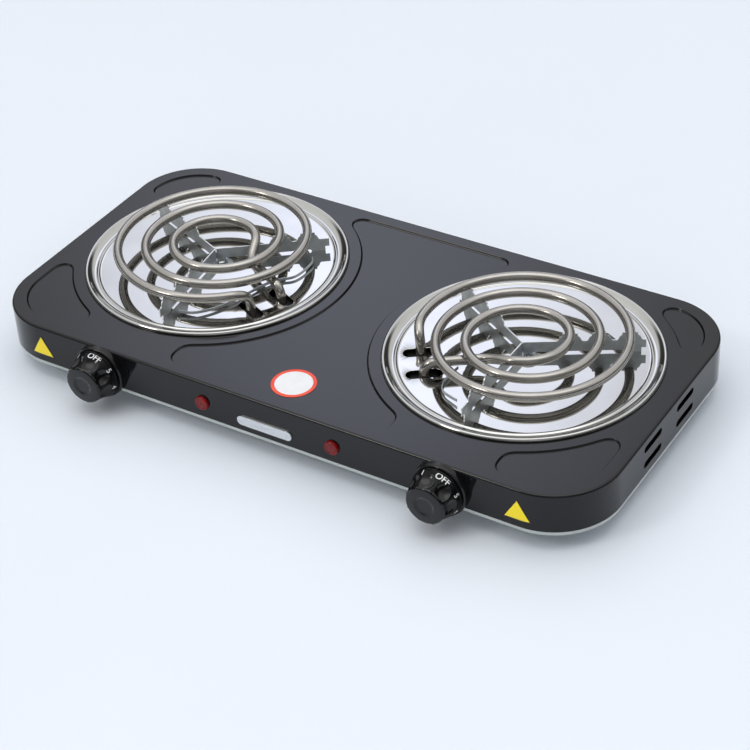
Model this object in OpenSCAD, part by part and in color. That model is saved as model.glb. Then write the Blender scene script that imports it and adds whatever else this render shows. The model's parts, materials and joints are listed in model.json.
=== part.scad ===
// Two-burner electric hot plate: an enamelled steel shell on a base tray and
// four rubber feet, with two spiral heating elements over bright drip pans,
// two dial regulators and two pilot lamps.
// Origin: on the resting surface, under the middle of the overall box.
// +X runs to the right, +Y to the back and +Z up. Millimetres.

/* [Body] */
// Length of the body, left to right
body_l = 460; // [440:5:500]
// Depth of the body, front wall to back wall
body_w = 228; // [222:2:250]
// Radius of the body's vertical corners
corner_r = 46; // [40:1:54]
// Height of the enamelled shell, bottom edge to top face
shell_h = 28; // [27:0.5:34]
// Radius of the edge between the shell's top and its walls
edge_r = 2.5; // [2:0.5:4]
// Thickness of the shell's sheet steel
sheet_t = 0.8; // [0.6:0.1:1]
// Height of the rubber feet under the tray
foot_h = 12; // [11:1:18]
// Height of the base tray that shows below the shell
strip_h = 3; // [2:0.5:6]
// Depth of the stamped panels in the shell's top
panel_depth = 0.6; // [0.3:0.1:1]

/* [Burners] */
// Distance from the middle of the body to each burner's centre
burner_x = 121.5; // [118:0.5:126]
// Distance of the burner centres behind the middle of the body
burner_y = 10; // [6:1:14]
// Outer radius of the drip pans' rolled rim
pan_r = 93; // [91:0.5:95]
// Distance of the leg slots from the burner's centre
slot_reach = 66; // [64:0.5:68]
// Half the distance between the two leg slots of a burner
slot_side = 12; // [11:0.5:13]

/* [Heating elements] */
// Radius of the element's sheath tube
tube_r = 3.3; // [3:0.1:3.5]
// Radius of the innermost turn, at the tube's centre line
inner_turn_r = 29; // [28:0.5:30]
// Step from one turn to the next
turn_pitch = 19.4; // [18.5:0.1:20]
// Height of the turns' centre line above the shell's top
coil_rise = 15; // [14.5:0.5:17]

/* [Controls] */
// Distance from the middle of the body to each knob's axis
knob_x = 131; // [126:1:136]
// Height of the knob axis above the shell's bottom edge
knob_z = 10.5; // [10:0.5:12]
// Radius of the knobs' skirt
knob_r = 17.8; // [16:0.2:18.4]
// Distance that the knobs stand out of the front wall
knob_reach = 22; // [20:0.5:26]
// Radius of the bezel disc behind each knob
bezel_r = 19; // [19:0.5:20]
// Thickness of the bezel disc
bezel_t = 4.6; // [4:0.2:5]
// Distance from the middle of the body to each pilot lamp
lamp_x = 50; // [40:1:60]

/* [Cord inlet] */
// Radius of the gland's bore, for a round mains cord
cord_r = 3.6; // [3:0.1:4]
// Distance that the gland stands out of the back wall
gland_reach = 6; // [4:0.5:10]
// Distance of the gland to the right of the middle
gland_x = 60; // [40:5:80]

/* [Hidden] */

LEFT = -1;
RIGHT = 1;
SIDES = [LEFT, RIGHT];
slack = 0.2;            // clearance between plain parts
fit_gap = 0.05;         // running clearance of a shaft in its bore
cut = 1;                // how far a cutting solid overshoots

// Levels, from the resting surface up
tray_z = foot_h;
tray_t = 1;
shell_z = tray_z + strip_h;
top_z = shell_z + shell_h;
ceiling_z = top_z - sheet_t;
inside_z = tray_z + tray_t;
pan_floor_z = top_z - 1;
pan_t = 0.5;
pan_under_z = pan_floor_z - pan_t;
coil_z = top_z + coil_rise;

// The knobs stand out in front and the gland behind, so the body sits off centre
body_y = (knob_reach - gland_reach) / 2;
front_y = body_y - body_w / 2;
back_y = body_y + body_w / 2;

// Direction in which each element's legs leave its burner, and the three arms between
leg_angle_left = -25;
leg_angle_right = 215;

// Turn of each coil support, anticlockwise seen from above, and its arms
support_angle_left = -23;
support_angle_right = -30;
ARM_ANGLES = [60, 180, 300];
// Pan screw and arm junction, from the burner centre along the support turn
stud_offset = 5.5;
arms_offset = -1.5;

// Drip pan
pan_hole_r = pan_r - 3.8;
slot_l = 24;
slot_w = 9.5;
stud_r = 1.9;

// Stamped panels
panel_margin = 10.5;
panel_arc_r = pan_r + 8.5;
panel_nose_r = 7;
panel_gap_w = 76;

// Heating element: three turns, each stepping out around the legs' side
turn_count = 3;
turn_start = 80;
turn_end = 360 * turn_count - 26;
turn_step = 12;
ramp_half = 121;
coil_shift = 1;
tail_flare = 3;
tail_from = 360 * turn_count - 110;
leg_end_drop = 26;
leg_run_drop = 2 * tube_r + 0.8;
leg_bend_r = 8;
leg_run_end = 34;
coil_sides = 8;

// Coil support
support_t = 0.8;
support_top = 9.5;
support_foot = 1.7;
support_end_r = 80;
notch_r = tube_r + 0.5;
seat_half = 6;
// Hub disc, its lugs up to the arms, and the fold that joins them
hub_r = 8.5;
hub_arm_l = 7;
fold_r = 1.1;
screw_head_r = 4.5;

// Regulator, measured from the front wall's outer face
shaft_r = 3;
frame_size = [34, 1.2, 20];
block_size = [30, 10, 18];
block_y = 9.4;
bushing_l = 3;
cam_y = 5.6;
cam_t = 3;
cam_r = 7;
cam_shift = 1;
shaft_end_y = block_y + 6;
shaft_tip_y = -knob_reach + 5;
tab_w = 6.3;
tab_t = 0.8;
tab_l = 8;
frame_screw_x = 13;

// Feet and fixings
foot_x = body_l / 2 - 55;
foot_y = body_w / 2 - 38;
foot_r = 9;
bracket_x = body_l / 2 - 28;
bracket_y = body_w / 2 - 30;
bracket_w = 10;

// End-wall louvres
vent_l = 23;
vent_h = 4;
vent_pitch = 12;
vent_low = 8;
vent_y = 23.5;

// Pilot lamps
lamp_z = shell_z + 10.5;
lens_r = 4.3;
lens_barrel_r = 3.4;

// Colours
ENAMEL = [0.12, 0.12, 0.13];
ZINC = [0.62, 0.66, 0.68];
TRAY_GREY = [0.72, 0.76, 0.74];
CHROME = [0.86, 0.87, 0.88];
SHEATH = [0.66, 0.63, 0.58];
PLASTIC = [0.05, 0.05, 0.05];
RUBBER = [0.1, 0.1, 0.1];
CERAMIC = [0.93, 0.91, 0.86];
BRASS = [0.8, 0.65, 0.3];
RUBY = [0.75, 0.05, 0.05];
STEEL = [0.75, 0.76, 0.78];

// ---- Paths -------------------------------------------------------------

function unit(v) = v / norm(v);
function smooth(x) = x <= 0 ? 0 : x >= 1 ? 1 : x * x * (3 - 2 * x);
function bezier(a, b, c, d, t) =
    pow(1 - t, 3) * a + 3 * t * pow(1 - t, 2) * b + 3 * t * t * (1 - t) * c + pow(t, 3) * d;
function heading(path, i) = unit(path[min(i + 1, len(path) - 1)] - path[max(i - 1, 0)]);
function square_to(v, axis) = unit(v - (v * axis) * axis);

// Centre-line radius of the spiral at an angle counted from the legs' direction
function turn_r(t) =
    let (
        lap = floor((t + 180) / 360),
        x = (t - 360 * lap + ramp_half) / (2 * ramp_half),
        steps = min(max(lap - 1 + smooth(x), 0), turn_count - 1),
        flare = tail_flare * smooth((t - tail_from) / (turn_end - tail_from))
    )
    inner_turn_r + turn_pitch * steps + flare;
function turn_point(t) = [turn_r(t) * cos(t) - coil_shift, turn_r(t) * sin(t), 0];
function turn_heading(t) = unit(turn_point(t + 1) - turn_point(t - 1));

// Whole element in its burner's own frame, legs towards +X, heights from the coil plane
leg_in = [slot_reach, slot_side];
leg_out = [slot_reach, -slot_side];
bend_z = -leg_run_drop - leg_bend_r;
join_pull = 16;
coil_path = concat(
    [[leg_in[0], leg_in[1], -leg_end_drop]],
    [for (a = [0 : 15 : 90])
        [leg_in[0] - leg_bend_r * (1 - cos(a)), leg_in[1], bend_z + leg_bend_r * sin(a)]],
    [for (k = [0 : 7])
        bezier(
            [leg_run_end, slot_side, -leg_run_drop],
            [leg_run_end - join_pull, slot_side, -leg_run_drop],
            turn_point(turn_start) - join_pull * turn_heading(turn_start),
            turn_point(turn_start),
            k / 8
        )],
    [for (t = [turn_start : turn_step : turn_end]) turn_point(t)],
    [for (k = [1 : 8])
        bezier(
            turn_point(turn_end),
            turn_point(turn_end) + 12 * turn_heading(turn_end),
            [leg_out[0], leg_out[1], -2],
            [leg_out[0], leg_out[1], -13],
            k / 8
        )],
    [[leg_out[0], leg_out[1], -leg_end_drop]]
);

// Hand-laid wire routes inside the body, from the terminal block outwards
wire_r = 1.5;
wire_sides = 8;

// Points of a rounded route through hand-placed stations
function route(stations, per_leg = 5) =
    let (last = len(stations) - 1)
    concat(
        [for (i = [0 : last - 1])
            let (
                a = stations[i],
                b = stations[i + 1],
                ta = (b - stations[max(i - 1, 0)]) / 2,
                tb = (stations[min(i + 2, last)] - a) / 2
            )
            for (k = [0 : per_leg - 1])
                bezier(a, a + ta / 3, b - tb / 3, b, k / per_leg)],
        [stations[last]]
    );

// ---- Shared shapes -----------------------------------------------------

// Round tube swept along a path, closed at both ends
module tube(path, r, sides) {
    last = len(path) - 1;
    start = square_to([0.31, 0.83, 0.46], heading(path, 0));
    normals = [for (i = 0, n = start; i <= last; i = i + 1, n = square_to(n, heading(path, min(i, last)))) n];
    points = [for (i = [0 : last])
        let (
            along = heading(path, i),
            n = square_to(normals[i], along),
            b = cross(along, n)
        )
        for (k = [0 : sides - 1])
            path[i] + r * (cos(360 * k / sides) * n + sin(360 * k / sides) * b)];
    skin = [for (i = [0 : last - 1], k = [0 : sides - 1])
        let (k2 = (k + 1) % sides)
        each [
            [i * sides + k, (i + 1) * sides + k, i * sides + k2],
            [i * sides + k2, (i + 1) * sides + k, (i + 1) * sides + k2]
        ]];
    first_cap = [[for (k = [0 : sides - 1]) k]];
    last_cap = [[for (k = [sides - 1 : -1 : 0]) last * sides + k]];
    polyhedron(points = points, faces = concat(skin, first_cap, last_cap), convexity = 10);
}

// Outline of the body, drawn in by an inset
module body_outline(inset = 0) {
    r = corner_r - inset;
    l = body_l - 2 * inset;
    w = body_w - 2 * inset;
    square([l, w - 2 * r], center = true);
    square([l - 2 * r, w], center = true);
    for (x = SIDES, y = SIDES)
        translate([x * (l / 2 - r), y * (w / 2 - r)]) circle(r = r, $fn = 96);
}

// Solid block on the body's outline with its top edge rounded
module rounded_block(inset, h, edge) {
    r = corner_r - inset;
    x0 = body_l / 2 - inset - r;
    y0 = body_w / 2 - inset - r;
    arc = [for (a = [0 : 18 : 90]) [r - edge + edge * cos(a), h - edge + edge * sin(a)]];
    hull()
        for (x = SIDES, y = SIDES)
            translate([x * x0, y * y0, 0])
                rotate_extrude($fn = 64) polygon(concat([[0, 0], [r, 0]], arc, [[0, h]]));
}

// Floor areas of the five stamped panels: one at each corner and one in the middle
module panel_areas() {
    offset(r = panel_nose_r, $fn = 32)
        offset(delta = -panel_nose_r)
            difference() {
                body_outline(panel_margin);
                for (x = SIDES)
                    translate([x * burner_x, burner_y]) circle(r = panel_arc_r, $fn = 128);
                for (x = SIDES)
                    translate([x * burner_x, -body_w / 2])
                        square([panel_gap_w, body_w / 2], center = true);
            }
}

// Children in a burner's frame: its legs leave towards +X, heights stay global
module at_burner(side) {
    translate([side * burner_x, body_y + burner_y, 0])
        rotate(side == LEFT ? leg_angle_left : leg_angle_right) children();
}

function support_twist(side) = side == LEFT
    ? support_angle_left - leg_angle_left
    : support_angle_right - leg_angle_right;

// Children on the axis of the screw that holds a coil support to its pan
module at_stud(side) {
    at_burner(side) rotate(support_twist(side)) translate([stud_offset, 0, 0]) children();
}

// Children in a regulator's frame: on the knob axis, front wall's outer face at y = 0
module at_knob(side) {
    translate([side * knob_x, front_y, shell_z + knob_z]) children();
}

module at_lamp(side) {
    translate([side * lamp_x, front_y, lamp_z]) children();
}

module at_feet() {
    for (x = SIDES, y = SIDES)
        translate([x * foot_x, body_y + y * foot_y, 0]) children();
}

module at_brackets() {
    for (x = SIDES, y = SIDES)
        translate([x * bracket_x, body_y + y * bracket_y, 0]) children();
}

// Cylinder along +Y, from y1 to y2
module rod_y(r, y1, y2, sides = 48) {
    translate([0, y1, 0]) rotate([-90, 0, 0]) cylinder(r = r, h = y2 - y1, $fn = sides);
}

// Profile turned about the Y axis: x is the radius and y the distance along Y
module turned_y(sides = 64) {
    rotate([-90, 0, 0]) rotate_extrude($fn = sides) children();
}

// Slotted pan-head screw standing head up, its seat at z = 0
module pan_screw(head_r, head_h, shank_r, shank_l) {
    difference() {
        union() {
            cylinder(r = head_r, h = head_h * 0.45, $fn = 48);
            translate([0, 0, head_h * 0.45])
                cylinder(r1 = head_r, r2 = head_r * 0.7, h = head_h * 0.55, $fn = 48);
            translate([0, 0, -shank_l]) cylinder(r = shank_r, h = shank_l, $fn = 32);
        }
        for (a = [0, 90])
            rotate(a)
                translate([0, 0, head_h])
                    cube([head_r * 1.1, head_r * 0.22, head_h * 0.9], center = true);
    }
}

// ---- Body --------------------------------------------------------------

module top_shell() {
    color(ENAMEL)
        translate([0, body_y, shell_z])
            difference() {
                rounded_block(0, shell_h, edge_r);
                difference() {
                    translate([0, 0, -cut])
                        rounded_block(sheet_t, shell_h - sheet_t + cut, edge_r - sheet_t);
                    translate([0, 0, shell_h - sheet_t - panel_depth])
                        linear_extrude(panel_depth + cut) panel_areas();
                }
                translate([0, 0, shell_h - panel_depth])
                    linear_extrude(panel_depth + cut) panel_areas();
                for (x = SIDES)
                    translate([x * burner_x, burner_y, shell_h - cut * 4])
                        cylinder(r = pan_hole_r, h = cut * 5, $fn = 128);
                shell_front_holes();
                shell_vents();
                translate([gland_x, body_w / 2 - cut * 2, shell_h / 2])
                    rod_y(cord_r + 3, 0, cut * 4);
            }
}

// Holes for the shafts, the regulator screws and the lamps, in the shell's frame
module shell_front_holes() {
    translate([0, -body_w / 2, 0])
        for (x = SIDES) {
            translate([x * knob_x, 0, knob_z]) rod_y(shaft_r + 2, -cut, cut * 3);
            for (s = SIDES)
                translate([x * knob_x + s * frame_screw_x, 0, knob_z]) rod_y(1.6, -cut, cut * 3);
            translate([x * lamp_x, 0, lamp_z - shell_z]) rod_y(lens_barrel_r + slack, -cut, cut * 3);
        }
}

// Two pairs of louvre slots in each end wall
module shell_vents() {
    for (x = SIDES, y = SIDES, row = [0, 1])
        translate([x * body_l / 2, y * vent_y, vent_low + row * vent_pitch])
            cube([cut * 6, vent_l, vent_h], center = true);
}

tray_inset = sheet_t + 0.4;
tray_wall_h = strip_h + 7;

module base_tray() {
    color(TRAY_GREY)
        difference() {
            translate([0, body_y, tray_z])
                difference() {
                    linear_extrude(tray_wall_h) body_outline(tray_inset);
                    translate([0, 0, tray_t])
                        linear_extrude(tray_wall_h) body_outline(tray_inset + tray_t);
                }
            tray_front_notches();
            at_feet() cylinder(r = 1.9, h = top_z, $fn = 32);
            at_brackets() cylinder(r = 1.9, h = top_z, $fn = 32);
            for (x = SIDES, row = [-3 : 3])
                translate([x * burner_x, body_y + burner_y + row * 14, tray_z])
                    cube([60, 4, tray_t * 4], center = true);
            translate([0, body_y - 60, tray_z - cut]) cylinder(r = 1.6, h = tray_t + 2 * cut, $fn = 32);
        }
}

// Clearance in the tray's front wall for the regulators and the lamp holders
module tray_front_notches() {
    depth = 6;
    regulator_w = frame_size[0] + 4;
    lamp_w = 14;
    for (x = SIDES) {
        translate([x * knob_x - regulator_w / 2, front_y, shell_z + slack])
            cube([regulator_w, depth, tray_wall_h]);
        translate([x * lamp_x - lamp_w / 2, front_y, shell_z + slack])
            cube([lamp_w, depth, tray_wall_h]);
    }
}

// Z-shaped steel strips between the shell's corner panels and the tray
module corner_brackets() {
    flange_top = ceiling_z - panel_depth;
    color(ZINC)
        at_brackets()
            difference() {
                union() {
                    translate([-bracket_w / 2, -bracket_w / 2, inside_z]) cube([bracket_w, bracket_w, 1]);
                    translate([-bracket_w / 2, -bracket_w / 2, inside_z])
                        cube([bracket_w, 1, flange_top - inside_z]);
                    translate([-bracket_w / 2, -bracket_w / 2, flange_top - 1])
                        cube([bracket_w, bracket_w, 1]);
                }
                translate([0, 0, inside_z - cut]) cylinder(r = 1.5, h = 3 * cut, $fn = 32);
            }
}

module base_screws() {
    color(STEEL)
        at_brackets()
            translate([0, 0, tray_z]) rotate([180, 0, 0]) pan_screw(3.4, 2.2, 1.45, 6);
}

// Tapered rubber foot with a deep recess for its screw
module foot(x, y) {
    color(RUBBER)
        translate([x * foot_x, body_y + y * foot_y, 0])
            rotate_extrude($fn = 64)
                polygon([
                    [4.5, 0], [foot_r - 1.8, 0], [foot_r - 1.2, 0.6], [foot_r, foot_h],
                    [1.9, foot_h], [1.9, foot_h - 5], [4.5, foot_h - 5]
                ]);
}

module foot_front_left() foot(LEFT, LEFT);
module foot_front_right() foot(RIGHT, LEFT);
module foot_back_left() foot(LEFT, RIGHT);
module foot_back_right() foot(RIGHT, RIGHT);

module foot_screws() {
    color(STEEL)
        at_feet()
            translate([0, 0, foot_h - 5]) rotate([180, 0, 0]) pan_screw(3.6, 2.2, 1.8, 9);
}

// ---- Drip pans ---------------------------------------------------------

// Pan in its burner's frame, z = 0 at the shell's top face
module drip_pan(twist) {
    inner = pan_r - 10;
    color(CHROME)
        translate([0, 0, top_z])
            difference() {
                rotate_extrude($fn = 160)
                    polygon([
                        [0, -1.5], [inner - 0.6, -1.5], [inner + 0.5, -0.9], [inner + 2.2, -0.85],
                        [pan_r - 5.8, -0.4], [pan_r - 3.7, 0.4], [pan_r - 2.5, 1.45], [pan_r - 1.8, 1.9],
                        [pan_r - 1.1, 1.9], [pan_r - 0.6, 1.5], [pan_r - 0.5, 0.9], [pan_r - 0.5, 0],
                        [pan_r, 0], [pan_r, 1], [pan_r - 0.3, 1.8], [pan_r - 0.9, 2.4],
                        [pan_r - 2, 2.4], [pan_r - 2.9, 1.9], [pan_r - 4, 0.9], [pan_r - 6, 0.1],
                        [inner + 2.1, -0.35], [inner + 0.4, -0.4], [inner - 0.4, -1], [0, -1]
                    ]);
                for (v = [-slot_side, slot_side]) translate([slot_reach, v, -3]) slot_cutter();
                rotate(twist) translate([stud_offset, 0, -3]) cylinder(r = stud_r + slack, h = 4, $fn = 48);
            }
}

module slot_cutter() {
    half = (slot_l - slot_w) / 2;
    for (x = [-half, half]) translate([x, 0, 0]) cylinder(r = slot_w / 2, h = 6, $fn = 48);
    translate([-half, -slot_w / 2, 0]) cube([2 * half, slot_w, 6]);
}

module drip_pan_left() at_burner(LEFT) drip_pan(support_twist(LEFT));
module drip_pan_right() at_burner(RIGHT) drip_pan(support_twist(RIGHT));

stud_seat_z = pan_floor_z + support_t;
washer_t = 0.8;
nut_h = 2.8;

module pan_screws() {
    color(STEEL)
        for (side = SIDES)
            at_stud(side) translate([0, 0, stud_seat_z]) pan_screw(screw_head_r, 2.6, stud_r, 7);
}

module pan_washers() {
    color(STEEL)
        for (side = SIDES)
            at_stud(side)
                translate([0, 0, pan_under_z - washer_t])
                    difference() {
                        cylinder(r = 5, h = washer_t, $fn = 48);
                        translate([0, 0, -cut]) cylinder(r = stud_r + slack, h = 3 * cut, $fn = 48);
                    }
}

module pan_nuts() {
    color(STEEL)
        for (side = SIDES)
            at_stud(side)
                translate([0, 0, pan_under_z - washer_t - nut_h])
                    difference() {
                        cylinder(r = 4, h = nut_h, $fn = 6);
                        translate([0, 0, -cut]) cylinder(r = stud_r + fit_gap, h = nut_h + 2 * cut, $fn = 48);
                    }
}

// ---- Coil supports -----------------------------------------------------

// Distance along an arm to one lap of the spiral, and the spiral's angle there
function seat_turn(start, along, reach, lap, tries) =
    let (
        p = start + reach * along + [coil_shift, 0],
        t = (atan2(p[1], p[0]) + 360) % 360 + 360 * (lap - 1)
    )
    tries == 0 ? [reach, t] : seat_turn(start, along, reach + turn_r(t) - norm(p), lap, tries - 1);

// Upright sheet arm, cut from a strip, with a seat for each turn
module support_arm(angle, twist) {
    seat_z = coil_z - pan_floor_z;
    start = arms_offset * [cos(twist), sin(twist)];
    along = [cos(angle + twist), sin(angle + twist)];
    seats = [for (lap = [1 : turn_count])
        let (t = seat_turn(start, along, inner_turn_r, lap, 8))
        if (t[1] > turn_start) t[0]];
    translate([start[0], start[1], pan_floor_z])
        rotate(angle + twist)
        translate([0, support_t / 2, 0])
            rotate([90, 0, 0])
                linear_extrude(support_t)
                    difference() {
                        union() {
                            translate([0, support_foot])
                                square([support_end_r, support_top - support_foot]);
                            translate([0, support_t / 2])
                                square([hub_arm_l, support_top - support_t / 2]);
                            translate([support_end_r - 16, 0]) square([14, 6]);
                            translate([support_end_r - 3, 3]) square([3, support_top]);
                            for (r = seats)
                                translate([r - seat_half, 5])
                                    square([2 * seat_half, seat_z - 6.4]);
                        }
                        for (r = seats) translate([r, seat_z]) circle(r = notch_r, $fn = 48);
                    }
}

module coil_support(twist) {
    color(ZINC) {
        rotate(twist)
            translate([stud_offset, 0, pan_floor_z])
                difference() {
                    cylinder(r = hub_r, h = support_t, $fn = 64);
                    translate([0, 0, -cut]) cylinder(r = stud_r + slack, h = 3 * cut, $fn = 48);
                }
        rotate(twist)
            translate([arms_offset, 0, pan_floor_z + support_t / 2])
                cylinder(r = fold_r, h = support_top - support_t / 2, $fn = 24);
        for (a = ARM_ANGLES) support_arm(a, twist);
    }
}

module coil_support_left() at_burner(LEFT) coil_support(support_twist(LEFT));
module coil_support_right() at_burner(RIGHT) coil_support(support_twist(RIGHT));

// ---- Heating elements --------------------------------------------------

module coil() {
    color(SHEATH) translate([0, 0, coil_z]) tube(coil_path, tube_r, coil_sides);
}

module coil_left() at_burner(LEFT) coil();
module coil_right() at_burner(RIGHT) coil();

seal_h = 4;
pin_h = 3;

// Children under the end of each leg, z = 0 at the leg's end face
module at_legs() {
    for (v = [-slot_side, slot_side])
        translate([slot_reach, v, coil_z - leg_end_drop]) children();
}

// Ceramic beads that close the sheath
module coil_seals() {
    color(CERAMIC)
        at_legs() translate([0, 0, -seal_h]) cylinder(r = tube_r - 0.4, h = seal_h, $fn = 48);
}

// Flat push-on blades under the beads
module coil_tabs() {
    color(STEEL)
        at_legs()
            translate([0, 0, -seal_h]) {
                translate([0, 0, -pin_h]) cylinder(r = 1.2, h = pin_h, $fn = 32);
                translate([-tab_w / 2, -tab_t / 2, -tab_l]) cube([tab_w, tab_t, tab_l - pin_h + 1]);
            }
}

module coil_seals_left() at_burner(LEFT) coil_seals();
module coil_seals_right() at_burner(RIGHT) coil_seals();
module coil_tabs_left() at_burner(LEFT) coil_tabs();
module coil_tabs_right() at_burner(RIGHT) coil_tabs();

// Channel under the pan that holds the two legs
module leg_bracket() {
    plate_z = pan_under_z - 5;
    half_w = slot_side + 9;
    color(ZINC)
        difference() {
            union() {
                translate([slot_reach - 9, -half_w, plate_z]) cube([18, 2 * half_w, 1]);
                for (v = [-half_w, half_w - 1])
                    translate([slot_reach - 9, v, plate_z]) cube([18, 1, pan_under_z - plate_z]);
            }
            for (v = [-slot_side, slot_side])
                translate([slot_reach, v, plate_z - cut]) cylinder(r = tube_r + slack, h = 3 * cut, $fn = 48);
        }
}

module leg_bracket_left() at_burner(LEFT) leg_bracket();
module leg_bracket_right() at_burner(RIGHT) leg_bracket();

// ---- Regulators and knobs ----------------------------------------------

// Steel mounting plate with the shaft's bushing and two spacer posts
module regulator_frame() {
    color(ZINC)
        difference() {
            union() {
                translate([-frame_size[0] / 2, sheet_t, -frame_size[2] / 2]) cube(frame_size);
                rod_y(5, sheet_t, sheet_t + frame_size[1] + bushing_l);
                for (x = [-12, 12])
                    translate([x, 0, 6]) rod_y(2, sheet_t + 0.5, block_y);
            }
            rod_y(shaft_r + fit_gap, 0, block_y);
            for (x = [-frame_screw_x, frame_screw_x])
                translate([x, 0, 0]) rod_y(1.5, 0, 3);
        }
}

// Ceramic switch block behind the cam
module regulator_block() {
    color(CERAMIC)
        difference() {
            translate([-block_size[0] / 2, block_y, -block_size[2] / 2]) cube(block_size);
            rod_y(shaft_r + fit_gap, block_y - cut, shaft_end_y + 0.5);
        }
}

// Switch blades that end in three push-on tabs
module regulator_tabs() {
    back = block_y + block_size[1];
    color(BRASS)
        for (x = [-10, 0, 10])
            translate([x, back, 0]) {
                translate([-tab_w / 2, 0, -5]) cube([tab_w, 1, 10]);
                translate([-tab_w / 2, 0, -tab_t / 2]) cube([tab_w, tab_l, tab_t]);
            }
}

module regulator_frame_left() at_knob(LEFT) regulator_frame();
module regulator_frame_right() at_knob(RIGHT) regulator_frame();
module regulator_block_left() at_knob(LEFT) regulator_block();
module regulator_block_right() at_knob(RIGHT) regulator_block();
module regulator_tabs_left() at_knob(LEFT) regulator_tabs();
module regulator_tabs_right() at_knob(RIGHT) regulator_tabs();

module regulator_screws() {
    color(STEEL)
        for (side = SIDES, x = [-frame_screw_x, frame_screw_x])
            at_knob(side) translate([x, 0, 0]) rotate([90, 0, 0]) pan_screw(2.6, 1.8, 1.4, 4);
}

// Shaft with a flat for the knob and the cam that works the switch blades
module regulator_shaft() {
    color(STEEL) {
        difference() {
            rod_y(shaft_r, shaft_tip_y, shaft_end_y);
            translate([-shaft_r, shaft_tip_y - cut, shaft_r - 1.2])
                cube([2 * shaft_r, -shaft_tip_y - bezel_t + cut, 2]);
        }
        translate([cam_shift, 0, 0]) rod_y(cam_r, cam_y, cam_y + cam_t);
    }
}

module regulator_shaft_left() at_knob(LEFT) regulator_shaft();
module regulator_shaft_right() at_knob(RIGHT) regulator_shaft();

// Black disc behind the knob, hollow at the back, with a pointer rib on its top
module bezel() {
    color(PLASTIC) {
        turned_y(96)
            polygon([
                [shaft_r + 1.5, -bezel_t], [bezel_r - 1, -bezel_t], [bezel_r, -bezel_t + 1],
                [bezel_r, 0], [bezel_r - 1.2, 0], [bezel_r - 1.2, -bezel_t + 1.6],
                [shaft_r + 1.5, -bezel_t + 1.6]
            ]);
        translate([-0.6, -bezel_t - 0.4, knob_r - 0.4]) cube([1.2, 1, bezel_r - knob_r - 0.2]);
    }
}

module bezel_left() at_knob(LEFT) bezel();
module bezel_right() at_knob(RIGHT) bezel();

scoop_count = 8;
knob_back_y = -bezel_t - 0.6;
knob_face_r = 14.2;

// Knob with a conical skirt, scooped finger grips and a bore with a flat
module knob() {
    color(PLASTIC) {
        difference() {
            turned_y(96)
                polygon([
                    [0, -knob_reach + 0.8], [8, -knob_reach + 0.5], [11, -knob_reach],
                    [knob_face_r - 1.5, -knob_reach + 0.3], [knob_face_r, -knob_reach + 2],
                    [knob_face_r + 1, -knob_reach + 6], [knob_r - 0.6, knob_back_y - 2.2],
                    [knob_r, knob_back_y - 1.4], [knob_r, knob_back_y], [0, knob_back_y]
                ]);
            for (k = [0 : scoop_count - 1])
                rotate([0, 360 * (k + 0.5) / scoop_count, 0])
                    translate([0, -knob_reach - 1, knob_face_r + 5.4])
                        sphere(r = 7.4, $fn = 48);
            rotate([-90, 0, 0])
                difference() {
                    translate([0, 0, -knob_reach + 5 - slack])
                        cylinder(r = shaft_r + fit_gap, h = knob_reach, $fn = 48);
                    translate([-5, -10 - shaft_r + 1.2 - fit_gap, -knob_reach])
                        cube([10, 10, knob_reach + cut]);
                }
        }
    }
}

module knob_left() at_knob(LEFT) knob();
module knob_right() at_knob(RIGHT) knob();

// ---- Pilot lamps -------------------------------------------------------

module lamp_lens() {
    color(RUBY)
        turned_y(48)
            polygon([
                [0, -2.2], [1.8, -2], [3.3, -1.4], [lens_r, -0.5], [lens_r, 0],
                [lens_barrel_r, 0], [lens_barrel_r, 6], [2.4, 6], [2.4, -0.4], [0, -0.9]
            ]);
}

module lamp_holder() {
    color(CERAMIC)
        difference() {
            rod_y(5.2, sheet_t, 16);
            rod_y(lens_barrel_r + fit_gap, 0, 6.2);
            rod_y(2, 5, 12);
        }
}

module lamp_lens_left() at_lamp(LEFT) lamp_lens();
module lamp_lens_right() at_lamp(RIGHT) lamp_lens();
module lamp_holder_left() at_lamp(LEFT) lamp_holder();
module lamp_holder_right() at_lamp(RIGHT) lamp_holder();

// ---- Cord inlet and wiring ---------------------------------------------

gland_z = shell_z + shell_h / 2;

// Collared bush through the back wall
module cord_gland() {
    color(PLASTIC)
        translate([gland_x, back_y, gland_z])
            turned_y()
                polygon([
                    [cord_r, -8], [cord_r + 2.8, -8], [cord_r + 2.8, 0], [cord_r + 4.6, 0],
                    [cord_r + 4.6, 2], [cord_r + 2.2, gland_reach], [cord_r, gland_reach]
                ]);
}

block_l = 34;
block_d = 16;
block_h = 14;
block_at = [30, 80];

// Three-way ceramic connector block on the tray
module terminal_block() {
    color(CERAMIC)
        translate([block_at[0], body_y + block_at[1], inside_z])
            difference() {
                translate([-block_l / 2, -block_d / 2, 0]) cube([block_l, block_d, block_h]);
                for (x = [-11, 0, 11]) {
                    translate([x, -block_d, 6]) rod_y(2.1, 0, 2 * block_d);
                    translate([x, 0, 6]) cylinder(r = 2, h = block_h, $fn = 32);
                }
            }
}

module terminal_screws() {
    color(BRASS)
        for (x = [-11, 0, 11])
            translate([block_at[0] + x, body_y + block_at[1], inside_z + 6 + wire_r])
                difference() {
                    cylinder(r = 1.9, h = 4, $fn = 32);
                    translate([0, 0, 4]) cube([5, 0.6, 1.6], center = true);
                }
}

// Stations on the wire routes, in the body's frame; y counts from its middle
low = inside_z + wire_r + 0.6;
mid = low + 4.4;
wire_gap = 0.4;
block_front = block_at[1] - block_d / 2 - slack;
live_in = [block_at[0] + 11, block_front, inside_z + 6];
earth_in = [block_at[0], block_front, inside_z + 6];
neutral_in = [block_at[0] - 11, block_front, inside_z + 6];

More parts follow.
